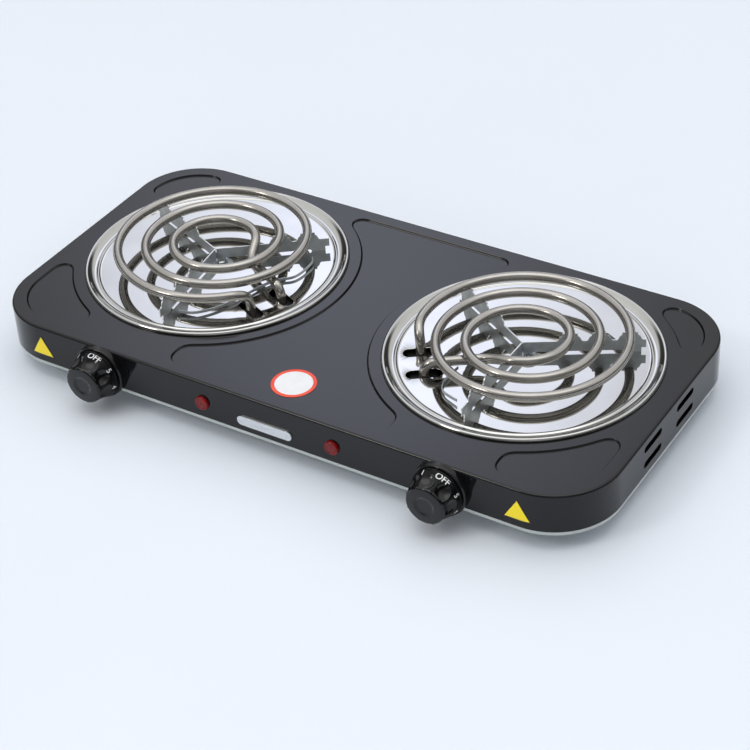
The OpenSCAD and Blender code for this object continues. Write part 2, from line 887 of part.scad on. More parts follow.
// Point just under one end of a leg's blade
function blade_at(side, v, end) =
    let (
        a = side == LEFT ? leg_angle_left : leg_angle_right,
        u = slot_reach + 2 * end
    )
    [
        side * burner_x + u * cos(a) - v * sin(a),
        burner_y + u * sin(a) + v * cos(a),
        coil_z - leg_end_drop - seal_h - tab_l - slack - wire_r
    ];
// Point just behind one of a regulator's tabs
function tab_at(x) = [x, -body_w / 2 + block_y + block_size[1] + tab_l + wire_gap, shell_z + knob_z];
back_off = [0, 8, 0];

module wire(stations) {
    translate([0, body_y, 0]) tube(route(stations), wire_r, wire_sides);
}

// Supply to the right regulator, and on along the front wall to the left one
module wires_live() {
    outer = tab_at(knob_x + 10);
    inner_right = tab_at(knob_x);
    inner_left = tab_at(-knob_x);
    color("brown") {
        wire([live_in, [44, 58, low], [80, 48, low], [150, 30, low + 1], [166, -20, low + 2],
            [156, -60, mid], outer + back_off, outer]);
        wire([inner_right, inner_right + back_off, [118, -70, low], [60, -74, low], [0, -76, low],
            [-60, -74, low], [-118, -70, low], inner_left + back_off, inner_left]);
    }
}

// Switched lead from each regulator to its element
module wires_load() {
    color("white") {
        wire([tab_at(knob_x - 10), tab_at(knob_x - 10) + back_off, [104, -58, 23], [86, -44, 19],
            blade_at(RIGHT, slot_side, -1)]);
        wire([tab_at(10 - knob_x), tab_at(10 - knob_x) + back_off, [-104, -58, 23], [-84, -38, 19],
            blade_at(LEFT, -slot_side, -1)]);
    }
}

// Return lead from the block to the right element, and on to the left one
module wires_neutral() {
    color("blue") {
        wire([neutral_in, [19, 58, low], [38, 20, low], [56, -4, 16], blade_at(RIGHT, -slot_side, -1)]);
        wire([blade_at(RIGHT, -slot_side, 1), [48, -26, low], [20, -22, low], [-20, -10, low],
            [-44, -7, low + 1], blade_at(LEFT, slot_side, 1)]);
    }
}

// Protective earth from the block to the tray
module wire_earth() {
    color("green")
        wire([earth_in, [30, 58, mid], [18, 30, mid], [2, -16, mid], [0, -42, low + 1], [0, -54, low]]);
}

module earth_screw() {
    color(BRASS)
        translate([0, body_y - 60, inside_z]) pan_screw(3.4, 2.2, 1.5, 3.5);
}

// ---- Markings ----------------------------------------------------------

// Plain raised plate on the front wall
module badge() {
    color(CHROME)
        translate([0, front_y - 1, shell_z + 8.5])
            rotate([-90, 0, 0])
                linear_extrude(1) {
                    square([35, 7], center = true);
                    for (x = [-17.5, 17.5]) translate([x, 0]) circle(r = 3.5, $fn = 48);
                }
}

label_t = 0.3;

// Triangular label that follows the front wall into the corner's curve
module caution_label(side) {
    half_w = 9.4;
    low_z = 5;
    high_z = 21;
    color("gold")
        intersection() {
            translate([0, body_y, shell_z])
                linear_extrude(shell_h)
                    difference() {
                        body_outline(-label_t);
                        body_outline(0);
                    }
            translate([side * 182.5, front_y - 2, shell_z])
                rotate([-90, 0, 0])
                    linear_extrude(8)
                        polygon([[-half_w, -low_z], [half_w, -low_z], [0, -high_z]]);
        }
}

module caution_label_left() caution_label(LEFT);
module caution_label_right() caution_label(RIGHT);

// Round label in the middle panel, near the front
module round_label() {
    color("white")
        translate([5.5, body_y - 86.5, top_z - panel_depth]) cylinder(r = 14.5, h = label_t, $fn = 96);
}

// ---- Assembly ----------------------------------------------------------

top_shell();
base_tray();
corner_brackets();
base_screws();
foot_front_left();
foot_front_right();
foot_back_left();
foot_back_right();
foot_screws();
drip_pan_left();
drip_pan_right();
pan_screws();
pan_washers();
pan_nuts();
coil_support_left();
coil_support_right();
coil_left();
coil_right();
coil_seals_left();
coil_seals_right();
coil_tabs_left();
coil_tabs_right();
leg_bracket_left();
leg_bracket_right();
regulator_frame_left();
regulator_frame_right();
regulator_block_left();
regulator_block_right();
regulator_tabs_left();
regulator_tabs_right();
regulator_screws();
regulator_shaft_left();
regulator_shaft_right();
bezel_left();
bezel_right();
knob_left();
knob_right();
lamp_lens_left();
lamp_lens_right();
lamp_holder_left();
lamp_holder_right();
cord_gland();
terminal_block();
terminal_screws();
wires_live();
wires_load();
wires_neutral();
wire_earth();
earth_screw();
badge();
caution_label_left();
caution_label_right();
round_label();
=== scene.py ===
import json
import math

import bmesh
import bpy
from mathutils import Matrix, Vector
from mathutils.geometry import delaunay_2d_cdt


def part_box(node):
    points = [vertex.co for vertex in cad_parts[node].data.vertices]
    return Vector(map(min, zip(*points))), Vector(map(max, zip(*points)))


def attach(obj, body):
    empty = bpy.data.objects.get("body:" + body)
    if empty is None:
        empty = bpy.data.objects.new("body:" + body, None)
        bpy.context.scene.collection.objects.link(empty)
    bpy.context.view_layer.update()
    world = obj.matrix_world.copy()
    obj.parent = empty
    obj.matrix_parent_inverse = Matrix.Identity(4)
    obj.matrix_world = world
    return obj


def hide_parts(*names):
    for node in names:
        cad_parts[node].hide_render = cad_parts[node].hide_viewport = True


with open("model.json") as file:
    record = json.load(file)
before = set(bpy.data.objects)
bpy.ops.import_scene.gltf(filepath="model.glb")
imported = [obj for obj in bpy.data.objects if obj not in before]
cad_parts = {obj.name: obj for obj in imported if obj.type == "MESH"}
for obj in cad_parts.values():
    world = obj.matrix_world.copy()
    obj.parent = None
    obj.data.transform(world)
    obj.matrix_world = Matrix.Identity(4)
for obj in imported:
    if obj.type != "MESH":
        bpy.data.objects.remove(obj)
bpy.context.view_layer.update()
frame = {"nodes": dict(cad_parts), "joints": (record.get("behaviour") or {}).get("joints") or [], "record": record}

# A two-burner spiral hot plate. Lengths below are in millimetres, in the CAD frame.
M = 0.001
BODY = "body"
LEFT, RIGHT = -1, 1
SIDE_NAME = {LEFT: "left", RIGHT: "right"}


def box_mm(node):
    lo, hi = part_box(node)
    return Vector(lo) / M, Vector(hi) / M


def middle(node):
    lo, hi = box_mm(node)
    return (lo + hi) / 2


SHELL_LO, SHELL_HI = box_mm("top_shell")
BODY_Y = middle("top_shell").y
HALF_L = SHELL_HI.x
HALF_W = (SHELL_HI.y - SHELL_LO.y) / 2
TOP_Z = SHELL_HI.z
WALL_Z = SHELL_LO.z
FRONT_Y = SHELL_LO.y
TRAY_Z = box_mm("base_tray")[0].z
CORNER_R = 46.0
EDGE_R = 1.8
SHEET_T = 0.8
PAN_R = 93.0
TUBE_R = 3.3
PAN_FLOOR_Z = TOP_Z - 1.0
COIL_Z = box_mm("coil_left")[1].z - TUBE_R
KNOB_REACH = FRONT_Y - box_mm("knob_left")[0].y
BEZEL_T = FRONT_Y - box_mm("bezel_left")[0].y - 0.4
LEG_ANGLE = {LEFT: -25.0, RIGHT: 215.0}
SUPPORT_ANGLE = {LEFT: -23.0, RIGHT: -30.0}
BURNER = {s: middle("drip_pan_" + SIDE_NAME[s]) for s in (LEFT, RIGHT)}
LAMP = {s: middle("lamp_lens_" + SIDE_NAME[s]) for s in (LEFT, RIGHT)}
LENS_AT = {s: LAMP[s] + Vector((1.5, 0, 1.2)) for s in (LEFT, RIGHT)}
KNOB_AXIS = {
    s: Vector(next(j for j in frame["joints"] if j["name"] == f"dial_{SIDE_NAME[s]}_turn")["pos_m"]) / M
    for s in (LEFT, RIGHT)
}


# ---- Materials ---------------------------------------------------------

def node_tree(name):
    mat = bpy.data.materials.new(name)
    mat.use_nodes = True
    tree = mat.node_tree
    shader = tree.nodes["Principled BSDF"]
    coords = tree.nodes.new("ShaderNodeTexCoord").outputs["Object"]
    return mat, tree, shader, coords


def noise(tree, coords, scale, detail=3.0, stretch=(1, 1, 1), rough=0.5):
    mapping = tree.nodes.new("ShaderNodeMapping")
    mapping.inputs["Scale"].default_value = stretch
    tree.links.new(coords, mapping.inputs["Vector"])
    tex = tree.nodes.new("ShaderNodeTexNoise")
    tex.inputs["Scale"].default_value = scale
    tex.inputs["Detail"].default_value = detail
    tex.inputs["Roughness"].default_value = rough
    tree.links.new(mapping.outputs["Vector"], tex.inputs["Vector"])
    return tex.outputs["Fac"]


def spread(tree, fac, lo, hi, at=(0.3, 0.7)):
    node = tree.nodes.new("ShaderNodeMapRange")
    node.inputs["From Min"].default_value = at[0]
    node.inputs["From Max"].default_value = at[1]
    node.inputs["To Min"].default_value = lo
    node.inputs["To Max"].default_value = hi
    tree.links.new(fac, node.inputs["Value"])
    return node.outputs["Result"]


def ramp(tree, fac, *stops):
    node = tree.nodes.new("ShaderNodeValToRGB")
    while len(node.color_ramp.elements) < len(stops):
        node.color_ramp.elements.new(0.5)
    for element, (at, colour) in zip(node.color_ramp.elements, stops):
        element.position = at
        element.color = (*colour, 1)
    tree.links.new(fac, node.inputs["Fac"])
    return node.outputs["Color"]


def bump(tree, shader, height, strength, distance):
    node = tree.nodes.new("ShaderNodeBump")
    node.inputs["Strength"].default_value = strength
    node.inputs["Distance"].default_value = distance
    tree.links.new(height, node.inputs["Height"])
    tree.links.new(node.outputs["Normal"], shader.inputs["Normal"])


def finish(name, dark, light, rough, scale=60.0, fine=900.0, relief=0.0, stretch=(1, 1, 1), **sockets):
    mat, tree, shader, coords = node_tree(name)
    broad = noise(tree, coords, scale, 4.0, stretch)
    grain = noise(tree, coords, fine, 2.0, stretch)
    tree.links.new(ramp(tree, broad, (0.3, dark), (0.7, light)), shader.inputs["Base Color"])
    tree.links.new(spread(tree, grain, *rough), shader.inputs["Roughness"])
    if relief:
        bump(tree, shader, grain, 0.4, relief * M)
    for socket, value in sockets.items():
        shader.inputs[socket.replace("_", " ")].default_value = value
    return mat


ENAMEL = finish("black_enamel", (0.0035, 0.0035, 0.0045), (0.0055, 0.0055, 0.007), (0.07, 0.11), 14, 700, 0.003,
                IOR=1.4)
TRAY_PAINT = finish("tray_paint", (0.42, 0.46, 0.45), (0.52, 0.56, 0.55), (0.38, 0.5), 40, 1500, 0.01)
CHROME = finish("pan_chrome", (0.468, 0.467, 0.45), (0.523, 0.522, 0.505), (0.02, 0.045), 30, 500, 0.0008, Metallic=1.0)
ZINC = finish("zinc_plate", (0.42, 0.46, 0.49), (0.58, 0.62, 0.655), (0.3, 0.46), 130, 1400, 0.008, Metallic=0.75)
SHEATH = finish("element_sheath", (0.335, 0.32, 0.298), (0.41, 0.394, 0.37), (0.16, 0.22), 40, 1600, 0.0006,
                Metallic=0.85)
STEEL = finish("screw_steel", (0.34, 0.35, 0.36), (0.46, 0.47, 0.48), (0.16, 0.28), 160, 1500, 0.004, Metallic=1.0)
# Lighter metal for the support arms' sheet edges: painted edge highlight
EDGE_HIGHLIGHT = finish("painted_edge_highlight", (0.66, 0.68, 0.7), (0.8, 0.82, 0.84), (0.35, 0.5), 300, 2500, 0.004, Metallic=0.7)
# Flat black: painted shade on the leg brackets and on the tray's inner face, and the bezel pointer ribs' own matte
# black
MATTE_BLACK_AND_SHADE = finish("matte_black_and_painted_shade", (0.006, 0.006, 0.006), (0.014, 0.013, 0.012), (0.5, 0.7), 120, 1500, 0.01)
# The knob's one black plastic in two copies: the skirt and back reflect weakly (low IOR) as painted shade, the face and
# scoops reflect more
KNOB_SHADED_PLASTIC = finish("knob_plastic", (0.003, 0.003, 0.0034), (0.005, 0.005, 0.0056), (0.14, 0.2), 90, 2200, 0.003,
                      IOR=1.2)
GRIP_PLASTIC = finish("knob_grip", (0.002, 0.002, 0.0024), (0.0035, 0.0035, 0.004), (0.1, 0.16), 90, 2200, 0.003,
                      IOR=1.45)
BEZEL_PLASTIC = finish("bezel_plastic", (0.004, 0.004, 0.0045), (0.007, 0.007, 0.008), (0.18, 0.26), 90, 2200, 0.004,
                       IOR=1.4)
RUBBER = finish("foot_rubber", (0.016, 0.016, 0.016), (0.03, 0.03, 0.03), (0.6, 0.8), 150, 2600, 0.03)
CERAMIC = finish("ceramic", (0.72, 0.69, 0.62), (0.84, 0.82, 0.76), (0.45, 0.62), 120, 2000, 0.02)
BRASS = finish("brass", (0.55, 0.4, 0.16), (0.72, 0.56, 0.28), (0.2, 0.36), 150, 1500, 0.006, Metallic=1.0)
RUBY = finish("lamp_ruby", (0.12, 0.0006, 0.0012), (0.23, 0.002, 0.003), (0.07, 0.12), 300, 3000, 0.0006,
              IOR=1.33, Coat_Weight=0.2, Coat_Roughness=0.04)
BADGE = finish("badge_silver", (0.62, 0.64, 0.67), (0.76, 0.78, 0.8), (0.22, 0.34), 90, 2600, 0.003,
               (1, 6, 6), Metallic=0.85)
YELLOW = finish("label_yellow", (1.0, 0.75, 0.006), (1.0, 0.82, 0.014), (0.3, 0.42), 120, 2200, 0.004)
WHITE = finish("label_white", (0.7, 0.715, 0.74), (0.77, 0.785, 0.81), (0.3, 0.42), 120, 2200, 0.004)
RED_INK = finish("label_red", (0.74, 0.05, 0.018), (0.84, 0.08, 0.03), (0.32, 0.45), 160, 2200, 0.003)
BLACK_INK = finish("label_black", (0.014, 0.013, 0.012), (0.026, 0.024, 0.022), (0.32, 0.45), 160, 2200, 0.003)
DIAL_INK = finish("dial_ink", (0.66, 0.67, 0.68), (0.8, 0.81, 0.82), (0.35, 0.5), 300, 2600, 0.003)
WIRE = {
    "wire_brown": finish("wire_brown", (0.14, 0.06, 0.03), (0.2, 0.09, 0.05), (0.45, 0.6), 90, 1800, 0.01),
    "wire_white": finish("wire_white", (0.66, 0.65, 0.62), (0.78, 0.77, 0.74), (0.45, 0.6), 90, 1800, 0.01),
    "wire_blue": finish("wire_blue", (0.03, 0.08, 0.3), (0.05, 0.12, 0.4), (0.45, 0.6), 90, 1800, 0.01),
    "wire_green": finish("wire_green", (0.06, 0.22, 0.05), (0.3, 0.4, 0.06), (0.45, 0.6), 90, 1800, 0.01),
}
BY_SLOT = {
    "black_enamel": ENAMEL, "tray_paint": TRAY_PAINT, "zinc_plate": ZINC, "screw_steel": STEEL,
    "foot_rubber": RUBBER, "pan_chrome": CHROME, "element_sheath": SHEATH, "ceramic": CERAMIC,
    "brass": BRASS, "knob_plastic": KNOB_SHADED_PLASTIC, "bezel_plastic": BEZEL_PLASTIC, "lamp_ruby": RUBY,
    "badge_silver": BADGE, "label_yellow": YELLOW, "label_white": WHITE, **WIRE,
}

# Every CAD part that stays in view gets the finish its slot names, except the leg brackets: they get flat black,
# painted shade, so the pan slots above them read dark
for part in frame["record"]["subparts"]:
    carried = frame["nodes"][part["node"]]
    carried.data.materials.clear()
    painted_shade = part["node"].startswith("leg_bracket")
    carried.data.materials.append(MATTE_BLACK_AND_SHADE if painted_shade else BY_SLOT[part["material_slot"]])


# ---- Mesh helpers ------------------------------------------------------

def piece(name, verts, faces, mat, slot, body=BODY, replaces=(), sharp=30.0, solid=0.0, bevel=0.0,
          segments=2, second=None, chosen=(), tidy=True):
    mesh = bpy.data.meshes.new(name)
    mesh.from_pydata([Vector(v) * M for v in verts], [], faces)
    work = bmesh.new()
    work.from_mesh(mesh)
    work.faces.ensure_lookup_table()
    for i in chosen:
        work.faces[i].material_index = 1
    if tidy:
        bmesh.ops.remove_doubles(work, verts=work.verts, dist=1e-6)
        bmesh.ops.recalc_face_normals(work, faces=work.faces)
    work.to_mesh(mesh)
    work.free()
    mesh.shade_smooth()
    mesh.materials.append(mat)
    if second:
        mesh.materials.append(second)
    obj = bpy.data.objects.new(name, mesh)
    bpy.context.scene.collection.objects.link(obj)
    if solid:
        wall = obj.modifiers.new("thickness", "SOLIDIFY")
        wall.thickness = abs(solid) * M
        wall.offset = -1.0 if solid > 0 else 1.0
        wall.use_even_offset = True
        wall.material_offset = 1 if second and not chosen else 0
    if bevel:
        edge = obj.modifiers.new("edges", "BEVEL")
        edge.width = bevel * M
        edge.segments = segments
        edge.limit_method = "ANGLE"
        edge.angle_limit = math.radians(40)
        edge.miter_outer = "MITER_ARC"
    mesh.set_sharp_from_angle(angle=math.radians(sharp))
    weights = obj.modifiers.new("normals", "WEIGHTED_NORMAL")
    weights.keep_sharp = True
    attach(obj, body)
    if replaces:
        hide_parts(*replaces)
    return obj


def bake(obj):
    """Turns an object's modifiers into mesh."""
    graph = bpy.context.evaluated_depsgraph_get()
    mesh = bpy.data.meshes.new_from_object(obj.evaluated_get(graph))
    obj.modifiers.clear()
    obj.data = mesh


def oblong(at, half, lo, hi):
    return [(at - half, lo), (at + half, lo), (at + half, hi), (at - half, hi)]


def prism(loop, axis, lo, hi):
    """Closed prism on a loop of (x or y, z) points, running along X or Y."""
    rings = []
    for d in (lo, hi):
        rings.append([(d, u, v) if axis == "x" else (u, d, v) for u, v in loop])
    verts, faces = loft(rings)
    n = len(loop)
    return verts, faces + [tuple(range(n - 1, -1, -1)), tuple(range(n, 2 * n))]


def cut_out(obj, verts, faces):
    """Cuts closed prisms out of an object."""
    mesh = bpy.data.meshes.new("cutter")
    mesh.from_pydata([Vector(v) * M for v in verts], [], faces)
    work = bmesh.new()
    work.from_mesh(mesh)
    bmesh.ops.recalc_face_normals(work, faces=work.faces)
    work.to_mesh(mesh)
    work.free()
    cutter = bpy.data.objects.new("cutter", mesh)
    bpy.context.scene.collection.objects.link(cutter)
    knife = obj.modifiers.new("cut", "BOOLEAN")
    knife.operation = "DIFFERENCE"
    knife.solver = "EXACT"
    knife.object = cutter
    bake(obj)
    bpy.data.objects.remove(cutter)


def smooth(x):
    x = min(max(x, 0.0), 1.0)
    return x * x * (3 - 2 * x)


def polar(r, a):
    return Vector((r * math.cos(math.radians(a)), r * math.sin(math.radians(a))))


def loft(rings, closed=True):
    """Joins rings of the same number of points with quads."""
    n = len(rings[0])
    verts = [p for ring in rings for p in ring]
    faces = []
    last = n if closed else n - 1
    for i in range(len(rings) - 1):
        for k in range(last):
            k2 = (k + 1) % n
            faces.append((i * n + k, i * n + k2, (i + 1) * n + k2, (i + 1) * n + k))
    return verts, faces


def join(*parts):
    verts, faces = [], []
    for vs, fs in parts:
        base = len(verts)
        verts += [tuple(v) for v in vs]
        faces += [tuple(i + base for i in f) for f in fs]
    return verts, faces


def inside(p, loop):
    x, y = p
    hit = False
    j = len(loop) - 1
    for i, (xi, yi) in enumerate(loop):
        xj, yj = loop[j]
        if (yi > y) != (yj > y) and x < (xj - xi) * (y - yi) / (yj - yi) + xi:
            hit = not hit
        j = i
    return hit


def fill(loops, z=0.0):
    """Flat sheet bounded by the first loop, with the other loops as holes."""
    points, edges = [], []
    for loop in loops:
        base = len(points)
        n = len(loop)
        points += [Vector(p) for p in loop]
        edges += [(base + k, base + (k + 1) % n) for k in range(n)]
    out, _, tris, _, _, _ = delaunay_2d_cdt(points, edges, [], 0, 1e-6)
    kept = []
    for tri in tris:
        c = sum((out[i] for i in tri), Vector((0, 0))) / len(tri)
        if sum(inside(c, loop) for loop in loops) % 2:
            kept.append(tuple(tri))
    return [(p.x, p.y, z) for p in out], kept


def circle(centre, r, n, start=0.0):
    return [tuple(Vector(centre[:2]) + polar(r, start + 360 * k / n)) for k in range(n)]


def slot_loop(centre, length, width, angle=0.0, n=16):
    """Round-ended slot as a loop of points."""
    c = Vector(centre[:2])
    along = polar(1, angle)
    half = (length - width) / 2
    loop = []
    for end, base in ((1, -90), (-1, 90)):
        for k in range(n + 1):
            loop.append(tuple(c + along * half * end + polar(width / 2, angle + base + 180 * k / n)))
    return loop


def spline(points, per=6):
    """Catmull-Rom curve through points of any dimension."""
    out = []
    last = len(points) - 1
    pts = [Vector(p) for p in points]
    for i in range(last):
        a, b = pts[i], pts[i + 1]
        ta = (b - pts[max(i - 1, 0)]) / 2
        tb = (pts[min(i + 2, last)] - a) / 2
        for k in range(per):
            t = k / per
            h1, h2 = 2 * t ** 3 - 3 * t ** 2 + 1, t ** 3 - 2 * t ** 2 + t
            h3, h4 = 3 * t ** 2 - 2 * t ** 3, t ** 3 - t ** 2
            out.append(a * h1 + ta * h2 + b * h3 + tb * h4)
    out.append(pts[last])
    return out


def lathe(profile, centre, n=96, axis="z", closed=False):
    """Turns a profile of (radius, height) about Z, or about Y with height along +Y."""
    c = Vector(centre)
    rings, poles = [], {}
    for i, (r, h) in enumerate(profile):
        ring = []
        for k in range(n):
            d = polar(max(r, 0.0), 360 * k / n)
            ring.append(c + (Vector((d.x, d.y, h)) if axis == "z" else Vector((d.x, h, d.y))))
        rings.append(ring)
    if closed:
        rings.append(rings[0])
    verts, faces = loft(rings)
    for i, (r, h) in enumerate(profile):
        if r < 1e-6:
            poles[i] = c + (Vector((0, 0, h)) if axis == "z" else Vector((0, h, 0)))
    return verts, [f for f in faces if len(set(f)) > 2]


def tube(path, r, n=24):
    """Round tube along a path, closed at both ends."""
    pts = [Vector(p) for p in path]
    last = len(pts) - 1
    rings = []
    side = None
    for i, p in enumerate(pts):
        along = (pts[min(i + 1, last)] - pts[max(i - 1, 0)]).normalized()
        if side is None:
            side = along.orthogonal().normalized()
        side = (side - side.dot(along) * along).normalized()
        up = along.cross(side)
        rings.append([
            p + r * (math.cos(2 * math.pi * k / n) * side + math.sin(2 * math.pi * k / n) * up)
            for k in range(n)
        ])
    verts, faces = loft(rings)
    faces.append(tuple(range(n - 1, -1, -1)))
    faces.append(tuple(len(pts) * n - n + k for k in range(n)))
    return verts, faces


def turned(points, angle, centre=(0, 0, 0)):
    """Turns points about Z through an angle, then moves them."""
    ca, sa = math.cos(math.radians(angle)), math.sin(math.radians(angle))
    c = Vector(centre)
    return [Vector((p[0] * ca - p[1] * sa, p[0] * sa + p[1] * ca, p[2])) + c for p in points]


# ---- Camera, floor and light -------------------------------------------

CAMERA_AZ, CAMERA_EL, CAMERA_ROLL = (math.radians(a) for a in (33.52, 36.44, -3.49))
CAMERA_AWAY = 1.3733
TARGET = Vector((26.8, BODY_Y - 23.0, WALL_Z)) * M
back = Vector((
    math.sin(CAMERA_AZ) * math.cos(CAMERA_EL),
    -math.cos(CAMERA_AZ) * math.cos(CAMERA_EL),
    math.sin(CAMERA_EL),
))
right0 = (-back).cross(Vector((0, 0, 1))).normalized()
up0 = right0.cross(-back)
right = right0 * math.cos(CAMERA_ROLL) + up0 * math.sin(CAMERA_ROLL)
up = -right0 * math.sin(CAMERA_ROLL) + up0 * math.cos(CAMERA_ROLL)
camera_data = bpy.data.cameras.new("camera")
camera_data.lens = 98.77
camera_data.sensor_width = 36.0
camera_data.clip_start = 0.05
camera_data.clip_end = 50.0
camera = bpy.data.objects.new("camera", camera_data)
bpy.context.scene.collection.objects.link(camera)
place = TARGET + back * CAMERA_AWAY
camera.matrix_world = Matrix((
    (right.x, up.x, back.x, place.x),
    (right.y, up.y, back.y, place.y),
    (right.z, up.z, back.z, place.z),
    (0, 0, 0, 1),
))
bpy.context.scene.camera = camera

FLOOR = finish("floor_paper", (0.71, 0.757, 0.83), (0.725, 0.772, 0.845), (0.6, 0.7), 3, 300)
floor_mesh = bpy.data.meshes.new("floor")
floor_mesh.from_pydata([(-6, -6, -0.0001), (6, -6, -0.0001), (6, 6, -0.0001), (-6, 6, -0.0001)], [], [(0, 1, 2, 3)])
floor_mesh.materials.append(FLOOR)
floor = bpy.data.objects.new("floor", floor_mesh)
bpy.context.scene.collection.objects.link(floor)


def softbox(name, place, target, size, power, colour=(1, 1, 1)):
    data = bpy.data.lights.new(name, "AREA")
    data.shape = "RECTANGLE"
    data.size, data.size_y = size
    data.energy = power
    data.color = colour
    obj = bpy.data.objects.new(name, data)
    bpy.context.scene.collection.objects.link(obj)
    obj.location = place
    obj.rotation_euler = (Vector(target) - Vector(place)).to_track_quat("-Z", "Y").to_euler()
    return obj


key = softbox("key_light", (-0.5, -0.7, 2.6), (0, 0, 0), (2.0, 2.0), 4, (1.0, 1.0, 1.0))
fill_in = softbox("fill_light", (-1.2, 2.2, 2.4), (0, 0, 0), (2.0, 2.0), 3, (0.97, 0.98, 1.0))
front_in = softbox("front_light", (0.8, -1.9, 0.7), (0, -0.1, 0), (1.6, 0.8), 9, (1.0, 0.99, 0.98))
# They light the paper and the paint, and the world gives the reflections
for lamp in (key, fill_in, front_in):
    lamp.visible_glossy = False


def blend(tree, mode, a, b):
    node = tree.nodes.new("ShaderNodeMix")
    node.data_type = "RGBA"
    node.blend_type = mode
    node.inputs["Factor"].default_value = 1.0
    tree.links.new(a, node.inputs["A"])
    tree.links.new(b, node.inputs["B"])
    return node.outputs["Result"]


def facing(tree, where, towards, half=False):
    """How far a direction points towards another: cosine, or half of one plus the cosine."""
    k = 0.5 if half else 1.0
    node = tree.nodes.new("ShaderNodeVectorMath")
    node.operation = "DOT_PRODUCT"
    node.inputs[1].default_value = [v * k for v in towards]
    tree.links.new(where, node.inputs[0])
    if not half:
        return node.outputs["Value"]
    lift = tree.nodes.new("ShaderNodeMath")
    lift.operation = "ADD"
    lift.inputs[1].default_value = 0.5
    tree.links.new(node.outputs["Value"], lift.inputs[0])
    return lift.outputs["Value"]


def grey(*stops):
    return [(at, (v, v, v)) for at, v in stops]


def studio():
    """Room lit from overhead, with a soft panel behind the object, a dim near side and a small lamp there."""
    world = bpy.data.worlds.new("studio")
    bpy.context.scene.world = world
    world.use_nodes = True
    tree = world.node_tree
    where = tree.nodes.new("ShaderNodeTexCoord").outputs["Generated"]
    parts = tree.nodes.new("ShaderNodeSeparateXYZ")
    tree.links.new(where, parts.inputs["Vector"])
    panel_az, panel_el = 124, math.radians(35.5)
    flat = (*polar(1.0, panel_az), 0.0)
    low = (*polar(math.cos(panel_el), panel_az), math.sin(panel_el))
    panel = facing(tree, where, low)
    glow = ramp(tree, panel, (0.975, (0, 0, 0)), (0.988, (0.06, 0.08, 0.16)), (0.996, (0.5, 0.56, 0.8)),
                (1.0, (0.88, 0.96, 1.35)))
    height = ramp(tree, parts.outputs["Z"], *grey((0.0, 0.4), (0.015, 0.04), (0.3, 0.08), (0.46, 0.92), (0.8, 1.05),
                                                  (0.88, 1.5), (0.94, 2.2)))
    foot = ramp(tree, facing(tree, where, flat), *grey((0.965, 0.0), (0.985, 1.0)))
    near = ramp(tree, facing(tree, where, flat, half=True), (0.03, (1.6, 1.6, 1.6)), (0.08, (0.26, 0.26, 0.26)),
                (0.25, (0.45, 0.45, 0.45)), (0.42, (1, 1, 1)))
    room = blend(tree, "MULTIPLY", blend(tree, "LIGHTEN", height, foot), near)
    spot = ramp(tree, facing(tree, where, (-0.442, -0.596, 0.671)), (0.993, (0, 0, 0)), (0.998, (12, 11.6, 10.7)))
    lamps = blend(tree, "ADD", glow, spot)
    tree.links.new(blend(tree, "ADD", room, lamps), tree.nodes["Background"].inputs["Color"])


studio()
bpy.context.scene.view_settings.view_transform = "Standard"


# ---- Body shell --------------------------------------------------------

def outline(inset, per_corner=28):
    """Body outline drawn in by an inset, with the same number of points for any inset."""
    r = CORNER_R - inset
    cx, cy = HALF_L - CORNER_R, HALF_W - CORNER_R
    loop = []
    for sx, sy, base in ((1, 1, 0), (-1, 1, 90), (-1, -1, 180), (1, -1, 270)):
        for k in range(per_corner + 1):
            p = polar(r, base + 90 * k / per_corner)
            loop.append((sx * cx + p.x, BODY_Y + sy * cy + p.y))
    return loop


def panel_loops():
    """Edges of the stamped panels' floors, read from the CAD shell."""
    mesh = frame["nodes"]["top_shell"].data
    level = None
    uses, where = {}, {}
    for poly in mesh.polygons:
        zs = [mesh.vertices[i].co.z / M for i in poly.vertices]
        if poly.normal.z < 0.9 or max(zs) > TOP_Z - 0.2 or min(zs) < TOP_Z - 0.79 - 0.6:
            continue
        if max(zs) < TOP_Z - 0.7:
            continue
        keys = []
        for i in poly.vertices:
            co = mesh.vertices[i].co / M
            key = (round(co.x, 2), round(co.y, 2))
            where[key] = key
            keys.append(key)
        for a, b in zip(keys, keys[1:] + keys[:1]):
            uses[(a, b)] = uses.get((a, b), 0) + 1
    follow = {a: b for (a, b) in uses if (b, a) not in uses}
    loops = []
    while follow:
        start, here = next(iter(follow.items()))
        del follow[start]
        loop = [start]
        while here != start and here in follow:
            loop.append(here)
            here = follow.pop(here)
        if len(loop) > 8:
            loops.append(loop)
    return loops


def even(loop, step, rounds):
    """Spaces a closed loop's points evenly and takes the facets out of it."""
    pts = [Vector(p) for p in loop]
    lengths = [(pts[(i + 1) % len(pts)] - p).length for i, p in enumerate(pts)]
    total = sum(lengths)
    n = round(total / step)
    out, i, run = [], 0, 0.0
    for k in range(n):
        at = total * k / n
        while run + lengths[i] < at:
            run += lengths[i]
            i += 1
        t = (at - run) / lengths[i]
        out.append(pts[i].lerp(pts[(i + 1) % len(pts)], t))
    for _ in range(rounds):
        out = [out[k] * 0.5 + (out[k - 1] + out[(k + 1) % n]) * 0.25 for k in range(n)]
    return out


def shifted(loop, distance):
    """Moves a counter-clockwise loop outwards by a distance."""
    n = len(loop)
    out = []
    for k in range(n):
        along = (loop[(k + 1) % n] - loop[k - 1]).normalized()
        out.append(loop[k] + Vector((along.y, -along.x)) * distance)
    return out


PANEL_DEPTH = 1.3
STEP_W = 1.3
VENT_Y = 23.5

